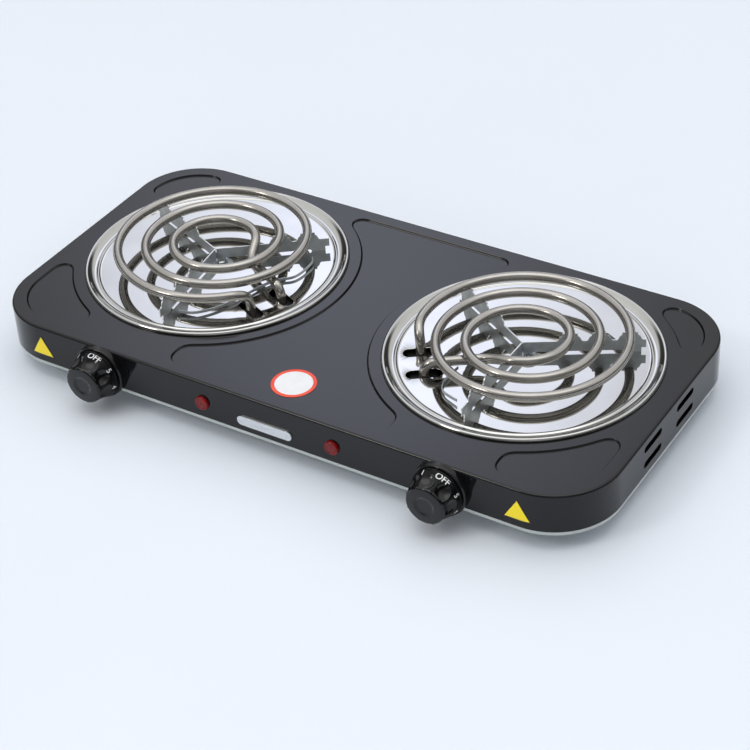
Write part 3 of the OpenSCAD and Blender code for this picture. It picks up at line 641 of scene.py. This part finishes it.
outer_rings = [(0.0, WALL_Z), (0.0, TOP_Z - EDGE_R)]
outer_rings += [
    (EDGE_R * (1 - math.cos(math.radians(a))), TOP_Z - EDGE_R + EDGE_R * math.sin(math.radians(a)))
    for a in range(9, 91, 9)
]
rings = [[(x, y, z) for x, y in outline(inset)] for inset, z in outer_rings]
shell_parts = [loft(rings)]
top_loops = [outline(EDGE_R)]
top_loops += [circle(BURNER[s], PAN_R - 4.4, 180) for s in (LEFT, RIGHT)]
for raw in panel_loops():
    loop = even(raw, 1.3, 12)
    area = sum(a.x * b.y - a.y * b.x for a, b in zip(loop, loop[1:] + loop[:1]))
    if area < 0:
        loop.reverse()
    steps = []
    for k in range(11):
        t = k / 10
        level = TOP_Z - PANEL_DEPTH * (0.65 * min(max(1.25 * t - 0.125, 0), 1) + 0.35 * smooth(t))
        steps.append([(p.x, p.y, level) for p in shifted(loop, STEP_W * (0.5 - t))])
    shell_parts.append(loft(steps))
    shell_parts.append(fill([[p[:2] for p in steps[-1]]], TOP_Z - PANEL_DEPTH))
    top_loops.append([p[:2] for p in steps[0]])
shell_parts.append(fill(top_loops, TOP_Z))
shell = piece("shell_body", *join(*shell_parts), ENAMEL, "black_enamel", replaces=("top_shell",), solid=SHEET_T)
bake(shell)
holes = []
for s in (LEFT, RIGHT):
    for y in (-VENT_Y, VENT_Y):
        for z in (8.0, 20.0):
            vent = slot_loop((BODY_Y + y, WALL_Z + z), 25.0, 5.0, 0, 8)
            holes.append(prism(vent, "x", s * HALF_L - 3, s * HALF_L + 3))
    for at, r in ((KNOB_AXIS[s], 5.0), (LENS_AT[s], 3.9)):
        holes.append(prism(circle((at.x, at.z), r, 32), "y", FRONT_Y - 3, FRONT_Y + 3))
gland = middle("cord_gland")
holes.append(prism(circle((gland.x, gland.z), 6.6, 48), "y", SHELL_HI.y - 3, SHELL_HI.y + 3))
cut_out(shell, *join(*holes))
shell.data.set_sharp_from_angle(angle=math.radians(30))
shell.modifiers.new("normals", "WEIGHTED_NORMAL").keep_sharp = True


# ---- Drip pans ---------------------------------------------------------

PAN_PROFILE = spline([
    (92.95, 0.15), (93.0, 0.9), (92.55, 1.75), (91.8, 2.32), (90.8, 2.2), (89.9, 1.5), (88.9, 0.65),
    (87.7, -0.1), (86.3, -0.6), (85.0, -0.7), (84.3, -0.45), (83.6, -0.2), (83.0, -0.4), (82.4, -0.85), (81.6, -1.0),
], 5)
SLOT_REACH, SLOT_SIDE = 66.0, 12.0
STUD_OFFSET = 5.5
for s in (LEFT, RIGHT):
    c = Vector((BURNER[s].x, BURNER[s].y, TOP_Z))
    wall = lathe(PAN_PROFILE, c, 220)
    floor_loops = [circle(c, PAN_PROFILE[-1][0], 220)]
    for v in (-SLOT_SIDE, SLOT_SIDE):
        at = turned([(SLOT_REACH, v, 0)], LEG_ANGLE[s], c)[0]
        floor_loops.append(slot_loop(at, 24, 9.5, LEG_ANGLE[s]))
    at = turned([(STUD_OFFSET, 0, 0)], SUPPORT_ANGLE[s], c)[0]
    floor_loops.append(circle(at, 2.1, 32))
    floor_part = fill(floor_loops, PAN_FLOOR_Z)
    name = SIDE_NAME[s]
    piece("pan_" + name, *join(wall, floor_part), CHROME, "pan_chrome", replaces=("drip_pan_" + name,), solid=0.5)


# ---- Heating elements --------------------------------------------------

INNER_R, PITCH, TURNS = 29.0, 19.4, 3
TURN_START, TURN_END = 80.0, 360.0 * TURNS - 26
RAMP_HALF, COIL_SHIFT = 121.0, 1.0
TAIL_FLARE, TAIL_FROM = 3.0, 360.0 * TURNS - 110
RUN_DROP = 2 * TUBE_R + 0.8
LEG_BEND, LEG_RUN_END, LEG_DROP = 8.0, 34.0, 26.0


def turn_r(t):
    lap = math.floor((t + 180) / 360)
    x = (t - 360 * lap + RAMP_HALF) / (2 * RAMP_HALF)
    steps = min(max(lap - 1 + smooth(x), 0), TURNS - 1)
    return INNER_R + PITCH * steps + TAIL_FLARE * smooth((t - TAIL_FROM) / (TURN_END - TAIL_FROM))


def turn_point(t):
    p = polar(turn_r(t), t)
    return Vector((p.x - COIL_SHIFT, p.y, 0))


def turn_heading(t):
    return (turn_point(t + 1) - turn_point(t - 1)).normalized()


def bezier(a, b, c, d, n, first=0):
    a, b, c, d = Vector(a), Vector(b), Vector(c), Vector(d)
    out = []
    for k in range(first, n + 1):
        t = k / n
        out.append((1 - t) ** 3 * a + 3 * t * (1 - t) ** 2 * b + 3 * t * t * (1 - t) * c + t ** 3 * d)
    return out


def element_path():
    """Centre line of the sheath, legs towards +X, heights from the coil's plane."""
    bend_z = -RUN_DROP - LEG_BEND
    path = [Vector((SLOT_REACH, SLOT_SIDE, -LEG_DROP))]
    for a in range(0, 91, 6):
        p = polar(LEG_BEND, a)
        path.append(Vector((SLOT_REACH - LEG_BEND + p.x, SLOT_SIDE, bend_z + p.y)))
    first, last = turn_point(TURN_START), turn_point(TURN_END)
    path += bezier(
        (LEG_RUN_END, SLOT_SIDE, -RUN_DROP), (LEG_RUN_END - 16, SLOT_SIDE, -RUN_DROP),
        first - 16 * turn_heading(TURN_START), first, 24,
    )[:-1]
    n = 330
    path += [turn_point(TURN_START + (TURN_END - TURN_START) * k / n) for k in range(n + 1)]
    path += bezier(
        last, last + 12 * turn_heading(TURN_END), (SLOT_REACH, -SLOT_SIDE, -2),
        (SLOT_REACH, -SLOT_SIDE, -13), 24, 1,
    )
    path.append(Vector((SLOT_REACH, -SLOT_SIDE, -LEG_DROP)))
    return path


for s in (LEFT, RIGHT):
    c = (BURNER[s].x, BURNER[s].y, COIL_Z)
    name = SIDE_NAME[s]
    piece("element_" + name, *tube(turned(element_path(), LEG_ANGLE[s], c), TUBE_R, 28), SHEATH,
          "element_sheath", replaces=("coil_" + name,), tidy=False)


# ---- Coil supports -----------------------------------------------------

SUPPORT_T = 0.8
SUPPORT_FOOT, SUPPORT_TOP, SUPPORT_END = 1.7, 9.5, 80.0
ARMS_OFFSET = -1.5
SEAT_Z = COIL_Z - PAN_FLOOR_Z
NOTCH_R = TUBE_R + 0.25


def seats(angle, twist):
    """Distances along an arm to the laps of the spiral that rest on it."""
    start = polar(ARMS_OFFSET, twist)
    along = polar(1, angle + twist)
    found = []
    for lap in range(1, TURNS + 1):
        reach = INNER_R
        for _ in range(12):
            p = start + reach * along + Vector((COIL_SHIFT, 0))
            t = math.degrees(math.atan2(p.y, p.x)) % 360 + 360 * (lap - 1)
            reach += turn_r(t) - p.length
        if t > TURN_START:
            found.append(reach)
    return found


def arm_loop(found):
    """Side view of an arm: a low strip with a horned seat under each lap."""
    top = [(0.6, SUPPORT_TOP)]
    for r in found:
        horn = SEAT_Z - 0.6
        top += [
            (r - 8.2, SUPPORT_TOP), (r - 7.4, SUPPORT_TOP + 0.6), (r - 6.6, SUPPORT_TOP + 2.6),
            (r - 5.9, SUPPORT_TOP + 3.4), (r - 5.2, SUPPORT_TOP + 3.8), (r - 4.9, horn - 0.3),
            (r - 4.5, horn), (r - 3.9, horn),
        ]
        for k in range(13):
            p = polar(NOTCH_R, 190 + 160 * k / 12)
            top.append((r + p.x, SEAT_Z + p.y))
        top += [
            (r + 3.9, horn), (r + 4.5, horn), (r + 4.9, horn - 0.3), (r + 5.2, SUPPORT_TOP + 3.8),
            (r + 5.9, SUPPORT_TOP + 3.4), (r + 6.6, SUPPORT_TOP + 2.6), (r + 7.4, SUPPORT_TOP + 0.6),
            (r + 8.2, SUPPORT_TOP),
        ]
    end = SUPPORT_END
    top = [p for p in top if p[0] < end - 0.5]
    top += [(end, SUPPORT_TOP), (end, 3.4)]
    bottom = [(end - 3, 3.4), (end - 3, 0.05), (end - 12.5, 0.05), (end - 13.5, SUPPORT_FOOT)]
    bottom += [(7.0, SUPPORT_FOOT), (6.4, 0.05), (0.6, 0.05)]
    return top + bottom


def upright(loop, thick, place, angle):
    """Stands a side view up as a sheet of a given thickness."""
    flat, faces = fill([loop])
    ca, sa = polar(1, angle)
    out = []
    for side in (-thick / 2, thick / 2):
        for x, z, _ in flat:
            out.append((place[0] + x * ca - side * sa, place[1] + x * sa + side * ca, place[2] + z))
    n = len(flat)
    rim = [(k, (k + 1) % n) for k in range(n)]
    solid = [tuple(f) for f in faces] + [tuple(n + i for i in reversed(f)) for f in faces]
    solid += [(b, a, n + a, n + b) for a, b in rim]
    return out, solid


for s in (LEFT, RIGHT):
    c = Vector((BURNER[s].x, BURNER[s].y, PAN_FLOOR_Z))
    twist = SUPPORT_ANGLE[s] - LEG_ANGLE[s]
    junction = turned([(ARMS_OFFSET, 0, 0)], SUPPORT_ANGLE[s], c)[0]
    for k, a in enumerate((60, 180, 300)):
        loop = arm_loop(seats(a, twist))
        verts, faces = upright(loop, SUPPORT_T, junction, a + SUPPORT_ANGLE[s])
        rim = range(len(faces) - len(loop), len(faces))
        replaced = ("coil_support_" + SIDE_NAME[s],) if k == 0 else ()
        # The arms' rim faces take the lighter metal: painted edge highlight
        piece(f"support_arm_{SIDE_NAME[s]}_{k + 1}", verts, faces, ZINC, "zinc_plate", replaces=replaced,
              second=EDGE_HIGHLIGHT, chosen=rim, sharp=25)
    name = SIDE_NAME[s]
    stud = turned([(STUD_OFFSET, 0, 0)], SUPPORT_ANGLE[s], c)[0]
    top = fill([circle(stud, 8.0, 64), circle(stud, 2.2, 32)], PAN_FLOOR_Z + SUPPORT_T)
    piece("support_foot_" + name, *top, ZINC, "zinc_plate", solid=SUPPORT_T - 0.03, bevel=0.15)


# Thin retaining strip clipped to two arms and passed under the coil's end
STRIP_PATH = {
    LEFT: ((-107.1, -48.6), (-95.4, -43.6), (-83.5, -25.2), (-71.9, 10.4), (-60.2, 24.1), (-58.6, 41.8),
           (-61.5, 48.3)),
    RIGHT: ((109.1, -47.9), (96.3, -42.8), (91.5, -34.4), (91.2, -25.8), (92.6, -17.0)),
}
for s, path in STRIP_PATH.items():
    points = spline(path, 6)
    rings = []
    for k, (x, y) in enumerate(points):
        a, b = points[max(k - 1, 0)], points[min(k + 1, len(points) - 1)]
        out = Vector((b[1] - a[1], a[0] - b[0])).normalized() * 0.35
        z = 45.0 - 1.2 * math.sin(math.pi * k / (len(points) - 1))
        rings.append([(x - out.x, y - out.y, z - 1.0), (x + out.x, y + out.y, z - 1.0),
                      (x + out.x, y + out.y, z + 1.0), (x - out.x, y - out.y, z + 1.0)])
    verts, faces = loft(rings)
    last = 4 * (len(rings) - 1)
    faces += [(3, 2, 1, 0), (last, last + 1, last + 2, last + 3)]
    piece("retaining_strip_" + SIDE_NAME[s], verts, faces, ZINC, "zinc_plate", bevel=0.12, segments=2)


# ---- Knobs, bezels and dial marks --------------------------------------

SCOOPS = 8
FACE_R, FACE_Y = 13.6, -KNOB_REACH
KNOB_BACK = -BEZEL_T - 0.6
KNOB_R = (box_mm("knob_left")[1].x - box_mm("knob_left")[0].x) / 2
SCOOP_Y, SCOOP_C, SCOOP_R = FACE_Y + 4.6, 22.0, 9.6


def soft_min(a, b, k):
    h = max(k - abs(a - b), 0.0) / k
    return min(a, b) - h * h * k / 4


def skirt_r(y):
    """Radius of the knob's cone at a distance y from the wall, y growing towards the wall."""
    a, b = (FACE_Y + 2.1, FACE_R + 0.2), (KNOB_BACK - 2.0, KNOB_R - 0.6)
    return a[1] + (b[1] - a[1]) * (y - a[0]) / (b[0] - a[0])


def grip_r(y, a):
    """Knob radius at an angle from the nearest scoop's middle."""
    reach = skirt_r(y)
    near = SCOOP_R ** 2 - (y - SCOOP_Y) ** 2 - (SCOOP_C * math.sin(a)) ** 2
    if near <= 0:
        return reach
    return soft_min(reach, SCOOP_C * math.cos(a) - math.sqrt(near), 0.4)


def knob_mesh(turn, n=320):
    """Knob's surface, and the faces of its scoops and front."""
    rows, grip = [], list(range(22 * n))
    step = 2 * math.pi / SCOOPS
    turns = []
    for k in range(n):
        phi = 2 * math.pi * k / n
        turns.append((phi, (phi + step / 2) % step - step / 2))
    for t in (0.0, 0.15, 0.3, 0.4, 0.46, 0.5, 0.54, 0.58, 0.62, 0.68, 0.75, 0.82, 0.88, 0.94, 1.0):
        dish = 0.8 * (1 - smooth((t - 0.42) / 0.2))
        rows.append([((FACE_R - 1.6) * t, FACE_Y + 0.05 + dish + 0.45 * t * t * t, phi) for phi, a in turns])
    for q in range(1, 9):
        w = math.radians(11.25 * q)
        y = FACE_Y + 0.5 + 1.6 * (1 - math.cos(w))
        row = []
        for phi, a in turns:
            nub = max(0.0, 1 - ((step / 2 - abs(a)) / 0.06) ** 2) * max(0.0, 1 - ((q - 5.5) / 2.2) ** 2)
            row.append((FACE_R - 1.6 + 1.6 * math.sin(w) + 0.5 * nub, y, phi))
        rows.append(row)
    first = FACE_Y + 2.1
    depth = KNOB_BACK - 2.0 - first
    for q in range(1, 35):
        y = first + depth * q / 34
        rows.append([(min(grip_r(y, a), FACE_R + 0.2 + (y - first) * 1.4), y, phi) for phi, a in turns])
        for k, (phi, a) in enumerate(turns):
            if rows[-1][k][0] < skirt_r(y) - 0.08:
                grip.append((len(rows) - 2) * n + k)
    for r, y in ((KNOB_R - 0.3, KNOB_BACK - 1.9), (KNOB_R - 0.05, KNOB_BACK - 1.6), (KNOB_R, KNOB_BACK - 1.3),
                 (KNOB_R, KNOB_BACK - 0.3), (KNOB_R - 0.2, KNOB_BACK), (4.0, KNOB_BACK), (0.0, KNOB_BACK)):
        rows.append([(r, y, phi) for phi, a in turns])
    rings = [[(r * math.sin(phi + turn), y, r * math.cos(phi + turn)) for r, y, phi in row] for row in rows]
    return *loft(rings), grip


def lettering(text, size):
    """Flat mesh of a line of text, centred on the origin."""
    curve = bpy.data.curves.new("mark", "FONT")
    curve.body = text
    curve.size = size
    curve.align_x = "CENTER"
    curve.align_y = "CENTER"
    curve.offset = 0.012 * size
    curve.resolution_u = 4
    obj = bpy.data.objects.new("mark", curve)
    bpy.context.scene.collection.objects.link(obj)
    mesh = bpy.data.meshes.new_from_object(obj.evaluated_get(bpy.context.evaluated_depsgraph_get()))
    work = bmesh.new()
    work.from_mesh(mesh)
    bmesh.ops.triangulate(work, faces=work.faces)
    verts = [tuple(v.co) for v in work.verts]
    faces = [tuple(v.index for v in f.verts) for f in work.faces]
    work.free()
    bpy.data.objects.remove(obj)
    return verts, faces


DIAL_MARKS = (("OFF", 0), ("5", 47), ("4", 92), ("3", 150), ("2", 212), ("1", 310))
MARK_Y = -9.1
KNOB_TURN = {LEFT: 10.0, RIGHT: 23.0}
SCOOP_TURN = {LEFT: 15.0, RIGHT: -2.0}

for s in (LEFT, RIGHT):
    name = SIDE_NAME[s]
    axis = KNOB_AXIS[s]
    dial = "dial_" + name
    verts, faces, grip = knob_mesh(math.radians(SCOOP_TURN[s]))
    # The skirt gets the weakly reflecting copy, painted shade; the face and scoops get the other copy
    piece("knob_grip_" + name, [Vector(v) + axis for v in verts], faces, KNOB_SHADED_PLASTIC, "knob_plastic", dial,
          replaces=("knob_" + name,), second=GRIP_PLASTIC, chosen=grip, sharp=60)
    marks = []
    for text, at in DIAL_MARKS:
        vs, fs = lettering(text, 5.9 if at == 0 else 5.2)
        out = []
        for x, y, _ in vs:
            depth = MARK_Y + y
            r = skirt_r(depth) + 0.03
            phi = math.radians(at + KNOB_TURN[s]) + x / r
            out.append((axis.x + r * math.sin(phi), axis.y + depth, axis.z + r * math.cos(phi)))
        marks.append((out, fs))
    piece("dial_marks_" + name, *join(*marks), DIAL_INK, "knob_plastic", dial, solid=-0.05, tidy=False)
    outer = box_mm("bezel_left")[1].x - middle("bezel_left").x
    ring = spline([
        (4.5, -BEZEL_T + 1.5), (4.5, -BEZEL_T), (12, -BEZEL_T), (outer - 1.6, -BEZEL_T),
        (outer - 0.5, -BEZEL_T + 0.35), (outer, -BEZEL_T + 1.2), (outer, -2), (outer, -0.1),
    ], 4)
    ring += [(outer - 1.2, -0.1), (outer - 1.2, -BEZEL_T + 1.6), (4.5, -BEZEL_T + 1.6)]
    piece("bezel_ring_" + name, *lathe(ring, axis, 128, "y"), BEZEL_PLASTIC, "bezel_plastic",
          replaces=("bezel_" + name,))
    tip = [(axis.x + x, axis.z + z) for x, z in ((-0.75, outer - 0.7), (0, outer - 3.4), (0.75, outer - 0.7))]
    front = FRONT_Y - BEZEL_T
    piece("bezel_pointer_" + name, *prism(tip, "y", front - 0.4, front + 0.5), MATTE_BLACK_AND_SHADE, "bezel_plastic", bevel=0.1)


# ---- Pilot lamps -------------------------------------------------------

LENS_SCALE = 1.24


def lens_mesh(c, facets=16):
    """Ruby lens: faintly ribbed middle, a groove, a raised ring and a short barrel."""
    profile = (
        (0.01, -1.9, 0), (0.7, -1.88, 0.03), (1.4, -1.84, 0.05), (2.1, -1.78, 0.05), (2.45, -1.74, 0),
        (2.6, -1.6, 0), (2.75, -1.6, 0), (2.9, -1.8, 0), (3.1, -2.0, 0), (3.45, -2.05, 0), (3.75, -1.95, 0),
        (3.95, -1.7, 0), (4.05, -1.2, 0), (4.2, -0.5, 0), (4.2, 0.4, 0), (3.4, 0.5, 0), (3.3, 6.0, 0),
        (0.0, 6.0, 0),
    )
    n = facets * 4
    rows = []
    for r, h, wave in profile:
        row = []
        for k in range(n):
            d = polar(LENS_SCALE * r, 360 * k / n)
            tooth = wave * (1 - 2 * abs((k % 4) / 4 - 0.5) * 2)
            row.append((c.x + d.x, FRONT_Y + h - tooth, c.z + d.y))
        rows.append(row)
    return loft(rows)


for s in (LEFT, RIGHT):
    name = SIDE_NAME[s]
    piece("lamp_lens_detail_" + name, *lens_mesh(LENS_AT[s]), RUBY, "lamp_ruby",
          replaces=("lamp_lens_" + name,), sharp=24)


# ---- Screws, feet, gland and tray --------------------------------------

def phillips(c, head_r, head_h):
    """Pan head with a cross recess, standing on a flange."""
    n = 96
    rows = []
    for r, h in ((head_r, 0.0), (head_r, 0.5), (head_r * 0.97, 0.62), (head_r * 0.74, 0.66)):
        rows.append([(r, h, 2 * math.pi * k / n) for k in range(n)])
    dome = head_r * 0.72
    for q in range(0, 25):
        t = 1 - q / 24
        row = []
        for k in range(n):
            phi = 2 * math.pi * k / n
            r = dome * t
            h = 0.66 + (head_h - 0.66) * math.sqrt(max(0.0, 1 - t ** 4))
            x, y = r * math.cos(phi), r * math.sin(phi)
            arm = dome * 0.62
            across = min(abs(x), abs(y))
            along = max(abs(x), abs(y))
            deep = smooth((0.52 - across) / 0.25) * smooth((arm - along) / 0.4)
            row.append((r, h - 1.1 * deep, phi))
        rows.append(row)
    return loft([[(c.x + r * math.cos(p), c.y + r * math.sin(p), c.z + h) for r, h, p in row] for row in rows])


screw_parts = []
for s in (LEFT, RIGHT):
    c = Vector((BURNER[s].x, BURNER[s].y, PAN_FLOOR_Z + SUPPORT_T))
    stud = turned([(STUD_OFFSET, 0, 0)], SUPPORT_ANGLE[s], (c.x, c.y, c.z))[0]
    screw_parts.append(phillips(stud, 4.4, 2.6))
    screw_parts.append(lathe([(1.85, 0.2), (1.85, -6.9), (0.0, -6.95)], stud, 32))
piece("pan_screw_heads", *join(*screw_parts), STEEL, "screw_steel", replaces=("pan_screws",), sharp=40)


# ---- Badge and labels --------------------------------------------------

badge_lo, badge_hi = box_mm("badge")
bar = slot_loop(((badge_lo.x + badge_hi.x) / 2, (badge_lo.z + badge_hi.z) / 2), badge_hi.x - badge_lo.x,
                badge_hi.z - badge_lo.z, 0, 20)
flat, tris = fill([bar])
piece("badge_plate", [(x, badge_lo.y, z) for x, z, _ in flat], tris, BADGE, "badge_silver", replaces=("badge",),
      solid=1.0, bevel=0.25, segments=3)

LABEL_T = 0.28
CAUTION_X = 182.5


def wall_y(x, proud):
    """Front wall's outer face at x, moved outwards a little."""
    past = max(abs(x) - (HALF_L - CORNER_R), 0.0)
    r = CORNER_R + proud
    return FRONT_Y + CORNER_R - math.sqrt(r * r - past * past)


def wall_triangle(cx, base, tip, half, proud):
    """Triangle laid on the front wall."""
    rows, cols = 24, 24
    out = []
    for i in range(rows + 1):
        t = i / rows
        w = max(half * (1 - t), 0.05)
        out.append([(cx + w * (2 * k / cols - 1), base + (tip - base) * t) for k in range(cols + 1)])
    return loft([[(x, wall_y(x, proud), z) for x, z in row] for row in out], closed=False)


low_z, high_z = box_mm("caution_label_right")[0].z, box_mm("caution_label_right")[1].z
for s in (LEFT, RIGHT):
    name = SIDE_NAME[s]
    cx = s * CAUTION_X + 0.6
    piece("caution_film_" + name, *wall_triangle(cx, low_z, high_z, 9.3, 0.14), BLACK_INK, "label_yellow",
          replaces=("caution_label_" + name,), solid=0.12)
    piece("caution_face_" + name, *wall_triangle(cx, low_z + 0.75, high_z - 1.2, 8.5, 0.26), YELLOW,
          "label_yellow", solid=0.1)

label = middle("round_label")
label_r = box_mm("round_label")[1].x - label.x + 0.5
label_z = TOP_Z - PANEL_DEPTH + LABEL_T
at = (label.x - 0.4, label.y + 1.2)
inner = circle(at, label_r - 2.4, 128)
piece("round_label_face", *fill([inner], label_z), WHITE, "label_white", replaces=("round_label",),
      solid=LABEL_T - 0.02)
piece("round_label_ring", *fill([circle(at, label_r, 128), inner], label_z), RED_INK, "label_white",
      solid=LABEL_T - 0.02)

# Pressed steel tray with a rolled lower edge, cooling slots and the screw holes
FEET = ("foot_front_left", "foot_front_right", "foot_back_left", "foot_back_right")
TRAY_INSET = SHEET_T + 0.4
tray_top = box_mm("base_tray")[1].z
roll = 0.9
tray_rings = []
for inset, z in ((TRAY_INSET, tray_top), (TRAY_INSET, WALL_Z + 0.6), (TRAY_INSET - 0.1, WALL_Z + 0.15),
                 (TRAY_INSET - 0.35, WALL_Z - 0.08), (0.5, WALL_Z - 0.08), (0.2, WALL_Z - 0.2), (0.12, WALL_Z - 0.5)):
    tray_rings.append([(x, y, z) for x, y in outline(inset)])
for a in range(0, 91, 15):
    p = polar(roll, a)
    tray_rings.append([(x, y, TRAY_Z + roll - p.y) for x, y in outline(0.12 + roll - p.x)])
tray_loops = [outline(0.12 + roll)]
for s in (LEFT, RIGHT):
    for row in range(-3, 4):
        tray_loops.append(slot_loop((BURNER[s].x, BURNER[s].y + row * 14), 60, 4))
for node in FEET:
    tray_loops.append(circle(middle(node), 1.9, 24))
# The tray's inner face takes the flat black second material: painted shade, so the slots in the shell read dark
tray = piece("tray_pan", *join(loft(tray_rings), fill(tray_loops, TRAY_Z)), TRAY_PAINT, "tray_paint",
             replaces=("base_tray",), solid=0.8, second=MATTE_BLACK_AND_SHADE)
bake(tray)
notches = []
for s in (LEFT, RIGHT):
    for at, half in ((KNOB_AXIS[s].x, 19), (LAMP[s].x, 7)):
        notches.append(prism(oblong(at, half, WALL_Z + 0.2, WALL_Z + 12), "y", FRONT_Y - 1, FRONT_Y + 6))
    for y in (BODY_Y - VENT_Y, BODY_Y + VENT_Y):
        notch = oblong(y, 16, WALL_Z + 1.5, WALL_Z + 12)
        notches.append(prism(notch, "x", s * (HALF_L - 1), s * (HALF_L - 6)))
cut_out(tray, *join(*notches))
tray.data.set_sharp_from_angle(angle=math.radians(30))
tray.modifiers.new("normals", "WEIGHTED_NORMAL").keep_sharp = True

# Moulded feet with a screw recess, and the cord's bush in the back wall
for node in FEET:
    c = middle(node)
    r = box_mm(node)[1].x - c.x
    h = box_mm(node)[1].z
    profile = spline([(4.5, h - 5), (4.5, 2.0), (4.6, 0.4), (5.1, 0.0), (6.6, 0.0), (r - 1.6, 0.1), (r - 1.1, 0.7),
                      (r - 0.9, 2.2), (r - 0.3, h - 2.0), (r, h - 0.6), (r, h)], 3)
    profile += [(1.9, h), (1.9, h - 5)]
    piece("pad_" + node[5:], *lathe(profile, (c.x, c.y, 0), 72, closed=True), RUBBER, "foot_rubber", replaces=(node,))

reach = box_mm("cord_gland")[1].y - SHELL_HI.y
bore = 3.6
profile = spline([(bore, reach), (bore + 2.0, reach), (bore + 2.5, reach - 0.5), (bore + 4.2, 2.2), (bore + 4.6, 1.4),
                  (bore + 4.6, 0.0)], 4)
profile += [(bore + 2.8, 0.0), (bore + 2.8, -8.0), (bore, -8.0)]
piece("cord_bush", *lathe(profile, (gland.x, SHELL_HI.y, gland.z), 96, "y", closed=True), BEZEL_PLASTIC,
      next(p["material_slot"] for p in frame["record"]["subparts"] if p["node"] == "cord_gland"),
      replaces=("cord_gland",))
